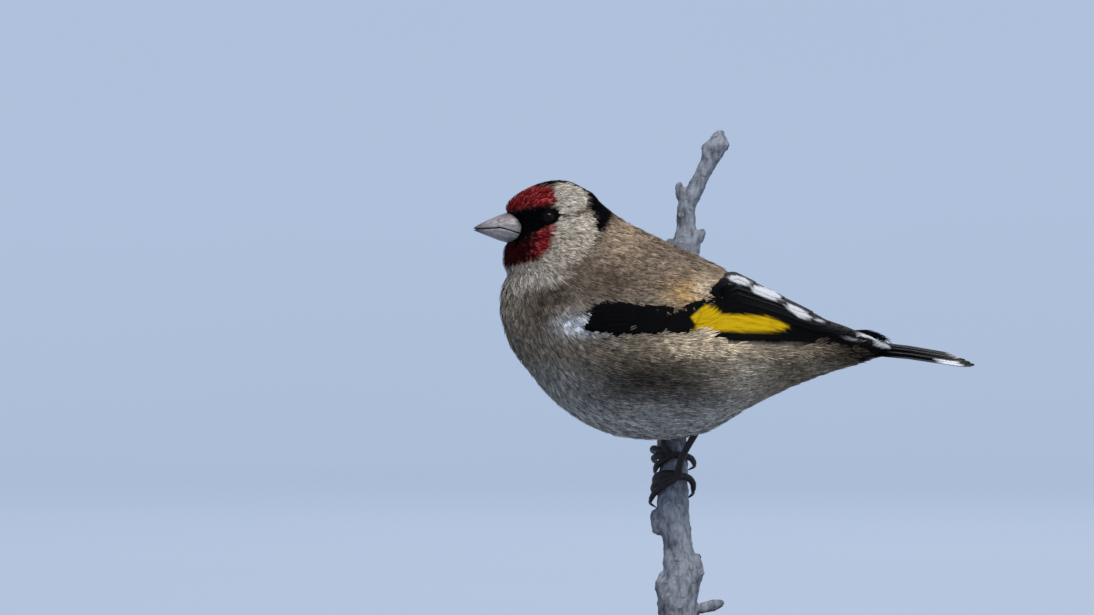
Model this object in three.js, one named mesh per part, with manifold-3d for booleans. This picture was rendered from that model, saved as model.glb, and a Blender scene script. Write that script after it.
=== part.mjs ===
// A life-size European goldfinch gripping an upright twig, on a plain display stand.
// Millimetres, +Z up. The bird faces -X, its left side is -Y, and the origin is the centre of the
// stand's underside.
import * as THREE from "three";
import { mergeVertices } from "three/addons/utils/BufferGeometryUtils.js";
import Module from "manifold-3d";

const wasm = await Module();
wasm.setup();

// Driving sizes
const gap = 0.3; // between pieces that touch
const base = { radius: 42, height: 8, bevel: 1.2, sides: 40 };
const rod = { radius: 2.2, x: 2.1, y: 5, sides: 16 };
const twigFoot = 16; // height of the twig's cut end
const eye = { x: -29.0, z: 115.6, sunk: 1.75, ball: 2.0, lidIn: 2.3, lidOut: 2.8, opening: 44, rim: 80 };
const wingSkin = { inner: -1.9, outer: -1.0 }; // the wing's plate, measured from the plumage's surface
const bodyAround = 28;
const bodyAlong = 30;

// The plumage from the neck to the tail, in sections: each runs from a point on the back line to one
// on the breast or belly line, and is half * 2 wide across the bird.
const bodySections = [
  { top: [-30, 113.6], bottom: [-30.2, 113.2], half: 0 },
  { top: [-21.5, 119.3], bottom: [-37.6, 104.8], half: 7.6 },
  { top: [-16.8, 119.2], bottom: [-40.5, 98.5], half: 11.2 },
  { top: [-13.4, 116.8], bottom: [-40.6, 92.5], half: 14.0 },
  { top: [-9.4, 114.0], bottom: [-38.4, 85.4], half: 16.6 },
  { top: [-4.8, 111.9], bottom: [-33.4, 78.6], half: 18.6 },
  { top: [0.2, 109.5], bottom: [-26, 70.6], half: 19.9 },
  { top: [6.2, 106.8], bottom: [-15, 64.6], half: 20.5 },
  { top: [12, 103.9], bottom: [-3, 63.2], half: 20.1 },
  { top: [18, 100.9], bottom: [8, 65.0], half: 18.6 },
  { top: [24, 98.0], bottom: [17, 70.2], half: 16.2 },
  { top: [30.5, 94.8], bottom: [25.5, 74.5], half: 13.0 },
  { top: [37, 91.7], bottom: [34.5, 78.2], half: 9.9 },
  { top: [43.5, 89.4], bottom: [43, 80.9], half: 7.3 },
  { top: [49, 88.2], bottom: [49, 82.3], half: 5.2 },
  { top: [54, 86.4], bottom: [54, 82.9], half: 3.4 },
  { top: [56.5, 84.7], bottom: [56.5, 84.5], half: 0 },
];
const headSections = [ // the sides of the face lie back behind the forehead and the chin
  { top: [-38.4, 113.3], bottom: [-38.4, 113.1], half: 0 },
  { top: [-38.8, 117.2], bottom: [-39.8, 108.8], half: 3.9, back: 2.6 },
  { top: [-37.5, 120.1], bottom: [-40.2, 105.5], half: 6.3, back: 3.0 },
  { top: [-34.0, 122.9], bottom: [-39.4, 103.0], half: 8.4, back: 1.9 },
  { top: [-29.4, 124.4], bottom: [-35.0, 101.8], half: 9.5, back: 0.5 },
  { top: [-25.0, 124.4], bottom: [-30.0, 101.6], half: 9.8 },
  { top: [-20.8, 122.6], bottom: [-25.0, 103.0], half: 9.2 },
  { top: [-17.6, 120.4], bottom: [-20.2, 106.0], half: 7.4 },
  { top: [-15.6, 114.0], bottom: [-15.6, 113.8], half: 0 },
];
const billSections = [
  { top: [-33.9, 113.5], bottom: [-33.9, 113.3], half: 0 },
  { top: [-34.6, 116.2], bottom: [-34.4, 109.6], half: 3.2 },
  { top: [-36.6, 117.0], bottom: [-36.2, 109.3], half: 3.6 },
  { top: [-38.6, 117.0], bottom: [-38.2, 109.6], half: 3.5 },
  { top: [-40.8, 116.3], bottom: [-40.8, 110.3], half: 2.9 },
  { top: [-43.2, 115.3], bottom: [-43.2, 111.2], half: 2.0 },
  { top: [-45.4, 114.2], bottom: [-45.4, 112.1], half: 1.05 },
  { top: [-46.7, 113.4], bottom: [-46.6, 112.6], half: 0.45 },
  { top: [-47.2, 112.9], bottom: [-47.2, 112.8], half: 0 },
];
const mouthLine = [[-50, 112.8], [-44, 113.1], [-40.4, 113.3], [-37.6, 112.5], [-33, 110.9]];

// The folded wing's lower edge and upper edge as seen from the side, [x, z]
const wingLow = [[-26, 92.5], [-21, 89.6], [-15, 88.0], [4, 88.0], [16, 85.8], [28, 85.0], [40, 84.5], [53, 84.3]];
const wingHigh = [[-26, 94.5], [-22, 96.2], [-16, 96.8], [-7, 95.6], [2, 95.2], [6, 97.4], [9, 101.2],
  [13, 103.9], [30, 97], [41, 91], [46, 88.4], [53, 85.9]];
const wingSpan = { front: -25.4, back: 52.2, open: [7, 13], shut: [40, 46], midline: 0.035 };

// The twig's middle line and thickness, [height, x, y, radius]
const twigRows = [
  [16, 1.9, 4, 4.4], [22.1, 1.4, 4.6, 4.6], [25.9, 0.9, 5, 4.8], [28.8, 1.9, 5.3, 4.9], [31.6, 2.7, 5.6, 4.4],
  [35.4, 1.8, 6.2, 3.9], [39.1, 1.6, 6.8, 3.5], [42.9, 0.6, 7.4, 3.8], [48.6, 0.2, 8.2, 3.9], [52.3, 0.5, 8.8, 3.6],
  [56.1, 0.9, 9.8, 3.5], [61.8, 0.2, 12.6, 3.6], [66, 0.3, 16.4, 3.5], [72.6, 0.5, 22, 3.4], [82.1, 0.9, 25.9, 3.2],
  [96.2, 2.4, 27.5, 3.1], [108.5, 3.8, 28, 3.5], [112.3, 4.2, 28.1, 2.8], [116.1, 3.9, 28.2, 2.1],
  [119.8, 4.2, 28.4, 2.6], [123.6, 6.6, 28.5, 2.4], [127.4, 8.1, 28.7, 2.0], [130.2, 10, 28.8, 2.4],
  [133.1, 11, 28.9, 3.3], [135.4, 11.8, 29, 2.6], [137.3, 12.2, 29, 0.7],
];
const twigBuds = [ // [x, y, z] of the middle, half sizes, and the lean to +X in degrees
  { at: [-3.6, 7.2, 43.6], size: [1.5, 1.7, 3.4], lean: -8 },
  { at: [-2.2, 5.4, 28.6], size: [1.8, 2.0, 3.6], lean: 6 },
  { at: [6.0, 5.6, 32.8], size: [1.7, 2.0, 3.8], lean: -10 },
  { at: [8.4, 4.8, 23.6], size: [1.5, 1.6, 4.4], lean: 74 },
  { at: [2.7, 28.4, 122.0], size: [1.4, 1.5, 2.9], lean: -14 },
  { at: [7.2, 28.1, 111.6], size: [1.3, 1.4, 2.3], lean: 26 },
  { at: [0.6, 28.1, 109.2], size: [1.4, 1.5, 2.2], lean: -30 },
];

// Legs from the belly to the twig: [x, y, z] of the joints, then each toe as [turn round the twig, height] steps
const legs = {
  left: {
    shank: [[7.6, -2.4, 69.5], [6.0, -1.2, 65.8], [2.2, 2.2, 58.6]],
    toes: {
      inner: [[8, 55.0], [-28, 55.2], [-60, 54.7], [-90, 53.6]],
      middle: [[8, 54.8], [-30, 53.7], [-66, 52.5], [-100, 51.2]],
      outer: [[8, 54.6], [-26, 52.5], [-58, 50.6], [-86, 49.0]],
      hind: [[2, 54.6], [34, 54.4], [66, 53.0], [94, 51.2]],
    },
  },
  right: {
    shank: [[-1.4, 3.2, 69.0], [-2.2, 4.8, 65.4], [-1.4, 6.6, 61.6]],
    toes: {
      inner: [[-6, 60.0], [-40, 60.9], [-70, 61.0], [-96, 60.4]],
      middle: [[-6, 59.8], [-42, 59.4], [-78, 58.7], [-108, 57.9]],
      outer: [[-6, 59.6], [-36, 58.1], [-64, 56.9], [-88, 56.0]],
      hind: [[-10, 59.7], [26, 59.5], [60, 58.6], [90, 57.4]],
    },
  },
};
const toe = { radius: [1.0, 0.88, 0.82, 0.66], clear: 0.4, arch: 0.12 };
const claw = { length: 3.3, radius: 0.5, tip: 0.12 };

// The tail's twelve feathers, the middle pair on top
const tail = { root: 47.3, tips: [66.0, 68.0, 69.6, 71.0], step: 0.5, thick: 0.72 };

const colours = {
  feather: 0xa8937a, face: 0x8e1c1c, wing: 0x14141a, tail: 0x17171b, bill: 0xcfc4bb, eye: 0x0a0807,
  lid: 0x1a1614, leg: 0x5a4238, claw: 0x2b221e, bark: 0x8d8f8a, wood: 0x3a2a20, steel: 0x9a9c9e,
};

const V = (x, y, z) => new THREE.Vector3(x, y, z);

// A value between named sizes, on a smooth curve through them
function smooth(list, at) {
  const last = list.length - 1;
  const i = Math.min(last - 1, Math.max(0, Math.floor(at)));
  const [a, b, c, d] = [list[Math.max(0, i - 1)], list[i], list[i + 1], list[Math.min(last, i + 2)]];
  const u = Math.min(1, Math.max(0, at - i));
  return 0.5 * (2 * b + (c - a) * u + (2 * a - 5 * b + 4 * c - d) * u * u + (3 * b - a - 3 * c + d) * u ** 3);
}

function alongLine(line, x) {
  let i = 0;
  while (i < line.length - 2 && x > line[i + 1][0]) i++;
  const u = (x - line[i][0]) / (line[i + 1][0] - line[i][0]);
  return smooth(line.map((p) => p[1]), i + Math.min(1, Math.max(0, u)));
}

function sectionAt(sections, t) {
  const read = (pick) => smooth(sections.map(pick), t);
  return {
    top: [read((s) => s.top[0]), read((s) => s.top[1])],
    bottom: [read((s) => s.bottom[0]), read((s) => s.bottom[1])],
    half: Math.max(0, read((s) => s.half)),
    back: read((s) => s.back ?? 0),
  };
}

// A point on a section's rim, angle 0 at its top and half a turn at its bottom, past the left side
function rimPoint(section, angle, swell = 0) {
  const { top, bottom, half, back } = section;
  const reach = [(top[0] - bottom[0]) / 2, (top[1] - bottom[1]) / 2];
  const grow = 1 + swell / Math.max(0.5, Math.hypot(...reach));
  return V(
    (top[0] + bottom[0]) / 2 + reach[0] * Math.cos(angle) * grow + back * Math.sin(angle) ** 2,
    -(half + swell) * Math.sin(angle),
    (top[1] + bottom[1]) / 2 + reach[1] * Math.cos(angle) * grow,
  );
}

// Solids from geometry, and back
function solidOf(geometry, near = 1e-4) {
  const bare = geometry.clone();
  bare.deleteAttribute("normal");
  bare.deleteAttribute("uv");
  const merged = mergeVertices(bare, near);
  const faces = [...merged.index.array];
  const kept = [];
  for (let i = 0; i < faces.length; i += 3) {
    const [a, b, c] = faces.slice(i, i + 3);
    if (a !== b && b !== c && a !== c) kept.push(a, b, c);
  }
  const build = (order) => new wasm.Manifold(new wasm.Mesh({
    numProp: 3, vertProperties: merged.attributes.position.array, triVerts: new Uint32Array(order),
  }));
  const made = build(kept);
  if (made.volume() > 0) return made;
  for (let i = 0; i < kept.length; i += 3) [kept[i + 1], kept[i + 2]] = [kept[i + 2], kept[i + 1]];
  return build(kept);
}

function largest(solid) {
  return solid.decompose().sort((a, b) => b.volume() - a.volume())[0];
}

function bareGeometry(solid) {
  const mesh = solid.getMesh();
  return new THREE.BufferGeometry()
    .setAttribute("position", new THREE.BufferAttribute(new Float32Array(mesh.vertProperties), 3))
    .setIndex(new THREE.BufferAttribute(new Uint32Array(mesh.triVerts), 1));
}

function everyEdgeHasTwoFaces(geometry) {
  const { position } = geometry.attributes;
  const name = (i) => [position.getX(i), position.getY(i), position.getZ(i)].map((c) => Math.round(c * 1e4)).join();
  const counts = new Map();
  const { array } = geometry.index;
  for (let i = 0; i < array.length; i += 3) {
    const corners = [name(array[i]), name(array[i + 1]), name(array[i + 2])];
    if (new Set(corners).size < 3) continue;
    corners.forEach((c, k) => {
      const edge = [c, corners[(k + 1) % 3]].sort().join(" ");
      counts.set(edge, (counts.get(edge) ?? 0) + 1);
    });
  }
  return [...counts.values()].every((count) => count === 2);
}

// The largest closed surface, without the smallest edges and folds that joins leave
function geometryOf(solid) {
  for (const small of [0.02, 0.03, 0.04, 0.05, 0.01, 0.005, 0.08, 0.12]) {
    let made = largest(largest(solid).simplify(small));
    for (let i = 0; i < 3; i++) made = largest(solidOf(bareGeometry(made), 1.5e-3));
    const geometry = bareGeometry(made);
    if (!everyEdgeHasTwoFaces(geometry)) continue;
    geometry.computeVertexNormals();
    return geometry;
  }
  throw new Error("a solid keeps folded edges");
}

// A closed form through the sections: a sphere's rows are laid on them, its poles at the ends
function loft(sections, around, along, swell = 0) {
  const ball = new THREE.SphereGeometry(1, around, along);
  const { position, uv } = ball.attributes;
  for (let i = 0; i < position.count; i++) {
    const t = (1 - uv.getY(i)) * (sections.length - 1);
    const pole = t < 1e-6 || t > sections.length - 1 - 1e-6;
    const section = sectionAt(sections, t);
    const p = rimPoint(section, pole ? 0 : uv.getX(i) * 2 * Math.PI, pole ? 0 : swell);
    position.setXYZ(i, p.x, pole ? 0 : p.y, p.z);
  }
  return solidOf(ball);
}

// A round limb along a path, thicker and thinner as its radii say, with flat ends
function limb(points, radii, sides, steps) {
  const path = new THREE.CatmullRomCurve3(points);
  const frames = path.computeFrenetFrames(steps);
  const tube = new THREE.CylinderGeometry(1, 1, 1, sides, steps);
  const { position } = tube.attributes;
  for (let i = 0; i < position.count; i++) {
    const s = Math.round((0.5 - position.getY(i)) * steps);
    const radius = smooth(radii, (s / steps) * (radii.length - 1));
    const p = path.getPointAt(s / steps)
      .addScaledVector(frames.normals[s], position.getX(i) * radius)
      .addScaledVector(frames.binormals[s], position.getZ(i) * radius);
    position.setXYZ(i, p.x, p.y, p.z);
  }
  return solidOf(tube);
}

// A thin closed plate: at(u, v, face) gives the points of its inner face, 0, and its outer face, 1,
// and both faces are split into triangles alike.
function plate(nu, nv, at) {
  const points = [];
  const index = [];
  const id = (i, j, face) => (face * (nu + 1) + i) * (nv + 1) + j;
  for (const face of [0, 1]) {
    for (let i = 0; i <= nu; i++) {
      for (let j = 0; j <= nv; j++) points.push(...at(i / nu, j / nv, face).toArray());
    }
  }
  const quad = (a, b, c, d) => index.push(a, b, c, a, c, d);
  for (let i = 0; i < nu; i++) {
    for (let j = 0; j < nv; j++) {
      quad(id(i, j, 1), id(i + 1, j, 1), id(i + 1, j + 1, 1), id(i, j + 1, 1));
      index.push(id(i, j, 0), id(i + 1, j + 1, 0), id(i + 1, j, 0));
      index.push(id(i, j, 0), id(i, j + 1, 0), id(i + 1, j + 1, 0));
    }
  }
  for (let i = 0; i < nu; i++) {
    quad(id(i, 0, 0), id(i + 1, 0, 0), id(i + 1, 0, 1), id(i, 0, 1));
    quad(id(i, nv, 1), id(i + 1, nv, 1), id(i + 1, nv, 0), id(i, nv, 0));
  }
  for (let j = 0; j < nv; j++) {
    quad(id(0, j, 1), id(0, j + 1, 1), id(0, j + 1, 0), id(0, j, 0));
    quad(id(nu, j, 0), id(nu, j + 1, 0), id(nu, j + 1, 1), id(nu, j, 1));
  }
  const geometry = new THREE.BufferGeometry()
    .setAttribute("position", new THREE.Float32BufferAttribute(points, 3))
    .setIndex(index);
  return solidOf(geometry);
}

// How far the plumage stands out sideways at a point of the side view
function halfWidthAt(x, z) {
  let [low, high] = [1, bodySections.length - 2];
  for (let i = 0; i < 40; i++) {
    const t = (low + high) / 2;
    const { top, bottom } = sectionAt(bodySections, t);
    const behind = (bottom[0] - top[0]) * (z - top[1]) - (bottom[1] - top[1]) * (x - top[0]) > 0;
    if (behind) low = t; else high = t;
  }
  const { top, bottom, half } = sectionAt(bodySections, low);
  const reach = Math.hypot(top[0] - bottom[0], top[1] - bottom[1]) / 2;
  const up = ((x - (top[0] + bottom[0]) / 2) * (top[0] - bottom[0])
    + (z - (top[1] + bottom[1]) / 2) * (top[1] - bottom[1])) / (2 * reach * reach);
  return half * Math.sqrt(Math.max(0, 1 - Math.min(1, up * up)));
}

function backLine(x) {
  return alongLine(bodySections.slice(1, -1).map((s) => s.top), x);
}

// The folded wing's surface: x along the bird, b from 0 at the lower edge to 1 at the upper edge
function wrapAt(x) {
  return THREE.MathUtils.smoothstep(x, ...wingSpan.open) * (1 - THREE.MathUtils.smoothstep(x, ...wingSpan.shut));
}

function wingPoint(x, b, lift = 0) {
  const place = (px, pb) => {
    const wrap = wrapAt(px);
    const low = alongLine(wingLow, px);
    const high = Math.min(alongLine(wingHigh, px), backLine(px));
    const z = low + (high - low) * ((1 - wrap) * pb + wrap * Math.sin((Math.min(1, pb) * Math.PI) / 2));
    return V(px, -halfWidthAt(px, z), z);
  };
  const p = place(x, b);
  if (!lift) return p;
  const e = 0.02;
  const alongX = place(x + 0.2, b).sub(place(x - 0.2, b));
  const across = place(x, Math.min(1, b + e)).sub(place(x, b - e));
  return p.addScaledVector(alongX.cross(across).normalize(), -lift);
}

function wingTop(x) {
  return 1 - wingSpan.midline * wrapAt(x);
}

// A box standing across the bird on a line of the side view, from one point to another
function slab(from, to, thick, wide = 60) {
  const box = new THREE.BoxGeometry(Math.hypot(to[0] - from[0], to[1] - from[1]), wide, thick);
  box.rotateY(-Math.atan2(to[1] - from[1], to[0] - from[0]));
  box.translate((from[0] + to[0]) / 2, 0, (from[1] + to[1]) / 2);
  return solidOf(box);
}

function ball(radius, x, y, z, width = 20, height = 14) {
  return solidOf(new THREE.SphereGeometry(radius, width, height).translate(x, y, z));
}

function mirrored(solid) {
  return solid.mirror([0, 1, 0]);
}

function headSide(x, z) {
  let [low, high] = [1, headSections.length - 2];
  for (let i = 0; i < 40; i++) {
    const t = (low + high) / 2;
    const { top, bottom } = sectionAt(headSections, t);
    if ((bottom[0] - top[0]) * (z - top[1]) - (bottom[1] - top[1]) * (x - top[0]) > 0) low = t; else high = t;
  }
  const { top, bottom, half } = sectionAt(headSections, low);
  const reach = Math.hypot(top[0] - bottom[0], top[1] - bottom[1]) / 2;
  const up = Math.hypot(x - (top[0] + bottom[0]) / 2, z - (top[1] + bottom[1]) / 2) / reach;
  return half * Math.sqrt(1 - up * up);
}

// The twig
function twigAt(z) {
  let i = 0;
  while (i < twigRows.length - 2 && z > twigRows[i + 1][0]) i++;
  const at = i + (z - twigRows[i][0]) / (twigRows[i + 1][0] - twigRows[i][0]);
  const read = (k) => smooth(twigRows.map((row) => row[k]), at);
  return { x: read(1), y: read(2), radius: read(3) };
}

// A point beside the twig: turn 0 is the bird's near side, minus is towards its head
function besideTwig(turn, z, lift) {
  const { x, y, radius } = twigAt(z);
  const a = THREE.MathUtils.degToRad(turn);
  return V(x + (radius + lift) * Math.sin(a), y - (radius + lift) * Math.cos(a), z);
}

function makeTwig() {
  const [rows, sides] = [32, 12];
  const [low, high] = [twigRows[0][0], twigRows.at(-1)[0]];
  const tube = new THREE.CylinderGeometry(1, 1, 1, sides, rows);
  const { position } = tube.attributes;
  for (let i = 0; i < position.count; i++) {
    const z = low + (high - low) * (position.getY(i) + 0.5);
    const [ux, uy] = [position.getX(i), position.getZ(i)];
    const { x, y, radius } = twigAt(z);
    const turn = Math.atan2(uy, ux);
    const bark = 1 + 0.035 * Math.sin(3 * turn + z * 0.31) + 0.03 * Math.sin(5 * turn - z * 0.83);
    position.setXYZ(i, x + ux * radius * bark, y + uy * radius * bark, z);
  }
  let twig = solidOf(tube);
  for (const { at, size, lean } of twigBuds) {
    const bud = new THREE.SphereGeometry(1, 8, 5).rotateX(Math.PI / 2).scale(...size);
    bud.rotateY(THREE.MathUtils.degToRad(lean)).translate(...at);
    twig = twig.add(solidOf(bud));
  }
  const hole = new THREE.CylinderGeometry(rod.radius + gap, rod.radius + gap, 8, rod.sides).rotateX(Math.PI / 2);
  return twig.subtract(solidOf(hole.translate(rod.x, rod.y, twigFoot - 0.5)));
}

function makeFoot(side) {
  const { shank, toes } = legs[side];
  const rise = toe.radius[0] + toe.clear;
  const knuckle = besideTwig(toes.middle[0][0], toes.middle[0][1], rise);
  const path = [...shank.map((p) => V(...p)), knuckle];
  let foot = limb(path, [1.15, 0.92, 0.84, 0.88, 1.05], 8, 9).add(ball(toe.radius[0] * 1.05, ...knuckle.toArray(), 8, 6));
  const claws = [];
  for (const [name, steps] of Object.entries(toes)) {
    const radii = toe.radius;
    const arch = (turn) => toe.arch * Math.sin(THREE.MathUtils.degToRad(turn)) ** 2;
    const line = steps.map(([turn, z], i) => besideTwig(turn, z, radii[i] + toe.clear + arch(turn)));
    foot = foot.add(limb(line, radii, 7, 7));
    const [[turnA, zA], [turnB, zB]] = steps.slice(-2);
    const sign = Math.sign(turnB - turnA);
    const { radius } = twigAt(zB);
    const turnPer = THREE.MathUtils.radToDeg(1 / (radius + 1));
    const drop = (zB - zA) / (Math.abs(turnB - turnA) / turnPer);
    const clawLine = [0.5, 1.4, 2.4, claw.length + 0.5].map((s, i) => besideTwig(
      turnB + sign * s * turnPer, zB + drop * s * 0.7 - 0.1 * i, toe.clear + claw.radius + [0.25, 0.6, 0.5, 0.05][i],
    ));
    claws.push([name, limb(clawLine, [claw.radius, 0.42, 0.3, claw.tip], 6, 5)]);
  }
  return { foot, claws };
}

// The tail's surface from above, and one of its feathers
function tailHeight(x, y) {
  return alongLine([[44, 86.2], [50, 86.0], [56, 85.4], [66, 84.0], [72, 83.3]], x) - 0.045 * y * y / (1 + 0.1 * Math.abs(y));
}

function tailFeather(order) {
  const tip = tail.tips[order];
  return plate(7, 8, (u, v, face) => {
    const across = 2 * v - 1;
    const blunt = Math.sqrt(1 - Math.max(0, (u - 0.86) / 0.14) ** 2 * 0.9);
    const notch = order ? 0 : 0.6 * Math.abs(across);
    const x = tail.root + 2 + (tip + notch - tail.root - 2) * u;
    const y = across * (1.9 + order * (0.25 + 0.6 * u) + 0.7 * u) * (0.5 + 0.5 * blunt);
    return V(x, y, tailHeight(x, y) - 0.35 - tail.step * order - (face ? 0 : tail.thick));
  });
}

// A flight feather or covert on the folded wing, its lower edge standing out over the one below
function wingVane({ from, to, low, high, width, lift, tilt = 0.25, nu = 5 }) {
  return plate(nu, 2, (u, v, face) => {
    const x = from + (to - from) * u;
    let length = 0;
    for (let i = 0; i < 6; i++) length += wingPoint(x, i / 6).distanceTo(wingPoint(x, (i + 1) / 6));
    const round = Math.sqrt(1 - Math.max(0, (u - 0.84) / 0.16) ** 2 * 0.97);
    const half = (width / 2) * (0.7 + 0.3 * Math.min(1, u * 3)) * round;
    const middle = low + (high - low) * u;
    const most = wingTop(x) - 0.01 - 0.09 * (1 - wrapAt(x)) - 0.05 * (x > 8 && x < 14);
    const b = Math.min(most, Math.max(0.01, middle + ((2 * v - 1) * half) / length));
    return wingPoint(x, b, face ? lift + tilt * (0.5 - v) : wingSkin.inner + 0.35);
  });
}

// Each tier of the wing, drawn from its first feather to its last; the later ones lie over the earlier
const tiers = [
  { count: 5, from: [11, 15], to: [52, 40.5], low: [0.1, 0.46], high: [0.5, 0.6], width: 4.4, lift: [-0.5, 0] },
  { count: 3, from: [5, 6], to: [37, 31.5], low: [0.5, 0.68], high: [0.56, 0.76], width: 5, lift: [0.05, 0.25] },
  { count: 3, from: [7, 9], to: [28.5, 17], low: [0.76, 0.86], high: [0.82, 0.93], width: 5.2, lift: [0.3, 0.5] },
  { count: 5, from: [-13, -2], to: [11, 13], low: [0.12, 0.76], high: [0.12, 0.74], width: 3.9, lift: [0.25, 0.5] },
  { count: 4, from: [-24, -14], to: [0, 3], low: [0.2, 0.84], high: [0.16, 0.8], width: 3.4, lift: [0.5, 0.7] },
];

function makeWing() {
  let wing = plate(26, 4, (u, v, face) => {
    const x = wingSpan.front + (wingSpan.back - wingSpan.front) * u;
    const outer = -0.35 + (wingSkin.outer + 0.35) * THREE.MathUtils.smoothstep(x, 4, 12);
    return wingPoint(x, v * wingTop(x), face ? outer : wingSkin.inner);
  });
  for (const { count, width, ...ends } of tiers) {
    for (let i = 0; i < count; i++) {
      const at = Object.entries(ends).map(([key, [a, b]]) => [key, a + ((b - a) * i) / (count - 1)]);
      wing = wing.add(wingVane({ ...Object.fromEntries(at), width }));
    }
  }
  return wing;
}

// The room the wing needs in the plumage
function wingRoom() {
  return plate(28, 6, (u, v, face) => {
    const x = wingSpan.front - gap + (wingSpan.back - wingSpan.front + 2 * gap) * u;
    const margin = gap / 12;
    const b = -margin * 1.6 + v * (1 + margin * (1 - wrapAt(x)) + margin * 1.6);
    const p = wingPoint(x, b, face ? 3 : wingSkin.inner - gap);
    if (v === 1) p.y += (face ? 0.6 : 0.6) * wrapAt(x);
    return p;
  });
}

const group = new THREE.Group();
function add(name, solid, color, roughness = 0.6, metalness = 0) {
  const mesh = new THREE.Mesh(geometryOf(solid), new THREE.MeshStandardMaterial({ color, roughness, metalness }));
  mesh.name = name;
  group.add(mesh);
}

// Plumage
const billRoot = { top: [billSections[0].top[0] + gap, 113.5], bottom: [billSections[0].top[0] + gap, 113.3], half: 0 };
const billRoom = loft([billRoot, ...billSections.slice(1)], 14, 12, gap * 1.6);
const sockets = [-1, 1].map((side) => {
  const y = side * (headSide(eye.x, eye.z) - eye.sunk);
  return { side, y, room: ball(eye.lidOut + gap, eye.x, y, eye.z, 18, 12) };
});
const rooms = [wingRoom(), mirrored(wingRoom())];
let bird = loft(bodySections, bodyAround, bodyAlong).add(loft(headSections, 20, 13)).subtract(billRoom);
for (const { room } of sockets) bird = bird.subtract(room);
for (const room of rooms) bird = bird.subtract(room);
const feet = { left: makeFoot("left"), right: makeFoot("right") };
for (const side of ["left", "right"]) {
  const path = legs[side].shank.map((p) => V(...p));
  path.unshift(path[0].clone().lerp(path[1], -0.2));
  bird = bird.subtract(limb(path, [1.5, 1.45, 1.3, 1.2], 12, 8));
}
const cuts = [ // front to back
  [[-44, 97.6], [-11, 124.6]],
  [[-46, 84.6], [-2, 122.4]],
  [[34, 60], [34, 110]],
  [[47.3, 60], [47.3, 110]],
].map(([from, to]) => slab(from, to, gap));
for (const cut of cuts) bird = bird.subtract(cut);
const pieces = bird.decompose().filter((p) => p.volume() > 30).sort((a, b) => b.volume() - a.volume());
const middleX = (p) => { const box = p.boundingBox(); return (box.min[0] + box.max[0]) / 2; };
pieces.sort((a, b) => middleX(a) - middleX(b));
const [head, neck, torso, rump, tailRoot] = pieces;
add("head", head, colours.face, 0.8);
add("neck", neck, colours.feather, 0.8);
add("torso", torso, colours.feather, 0.8);
add("rump", rump, colours.feather, 0.8);

// Tail and wings
let tailSolid = tailRoot;
for (let order = 3; order >= 0; order--) {
  let pair = tailFeather(order);
  if (order) pair = pair.subtract(solidOf(new THREE.BoxGeometry(60, 1.2, 20).translate(tail.tips[0] + 30 - order, 0, 84)));
  tailSolid = tailSolid.add(pair);
}
add("tail", tailSolid, colours.tail, 0.6);
const wing = makeWing();
add("wing_left", wing, colours.wing, 0.55);
add("wing_right", mirrored(wing), colours.wing, 0.55);

// Bill, its two halves parted along the line of the mouth
function beyondMouth(side) {
  const shape = new THREE.Shape();
  const line = mouthLine.map(([x, z]) => [x, z + (side * gap) / 2]);
  shape.moveTo(-60, line[0][1]);
  for (const [x, z] of line) shape.lineTo(x, z);
  shape.lineTo(-30, line.at(-1)[1]);
  shape.lineTo(-30, 113 + side * -20);
  shape.lineTo(-60, 113 + side * -20);
  const block = new THREE.ExtrudeGeometry(shape, { depth: 20, bevelEnabled: false });
  return solidOf(block.rotateX(Math.PI / 2).translate(0, 10, 0));
}
const bill = loft(billSections, 14, 12);
let billUpper = bill.subtract(beyondMouth(1));
for (const side of [-1, 1]) billUpper = billUpper.subtract(ball(0.42, -41.2, side * 2.25, 114.9, 10, 8));
add("bill_upper", billUpper, colours.bill, 0.45);
add("bill_lower", bill.subtract(beyondMouth(-1)), colours.bill, 0.45);

// Eyes and lids
for (const { side, y } of sockets) {
  const name = side < 0 ? "left" : "right";
  add(`eye_${name}`, ball(eye.ball, eye.x, y, eye.z, 15, 10), colours.eye, 0.1);
  const rim = (radius, degrees) => {
    const a = THREE.MathUtils.degToRad(degrees);
    return new THREE.Vector2(radius * Math.sin(a), radius * Math.cos(a));
  };
  const profile = [rim(eye.lidIn, eye.rim), rim(eye.lidOut, eye.rim), rim(eye.lidOut, 66), rim(eye.lidOut, 54),
    rim(eye.lidOut - 0.1, eye.opening), rim(eye.lidIn, eye.opening), rim(eye.lidIn, 60), rim(eye.lidIn, eye.rim)];
  const ring = new THREE.LatheGeometry(profile, 16);
  ring.rotateX(side < 0 ? Math.PI : 0).translate(eye.x, y, eye.z);
  add(`lid_${name}`, solidOf(ring), colours.lid, 0.7);
}

// Legs and claws
for (const side of ["left", "right"]) {
  add(`leg_${side}`, feet[side].foot, colours.leg, 0.6);
  for (const [name, solid] of feet[side].claws) add(`claw_${side}_${name}`, solid, colours.claw, 0.4);
}

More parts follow.
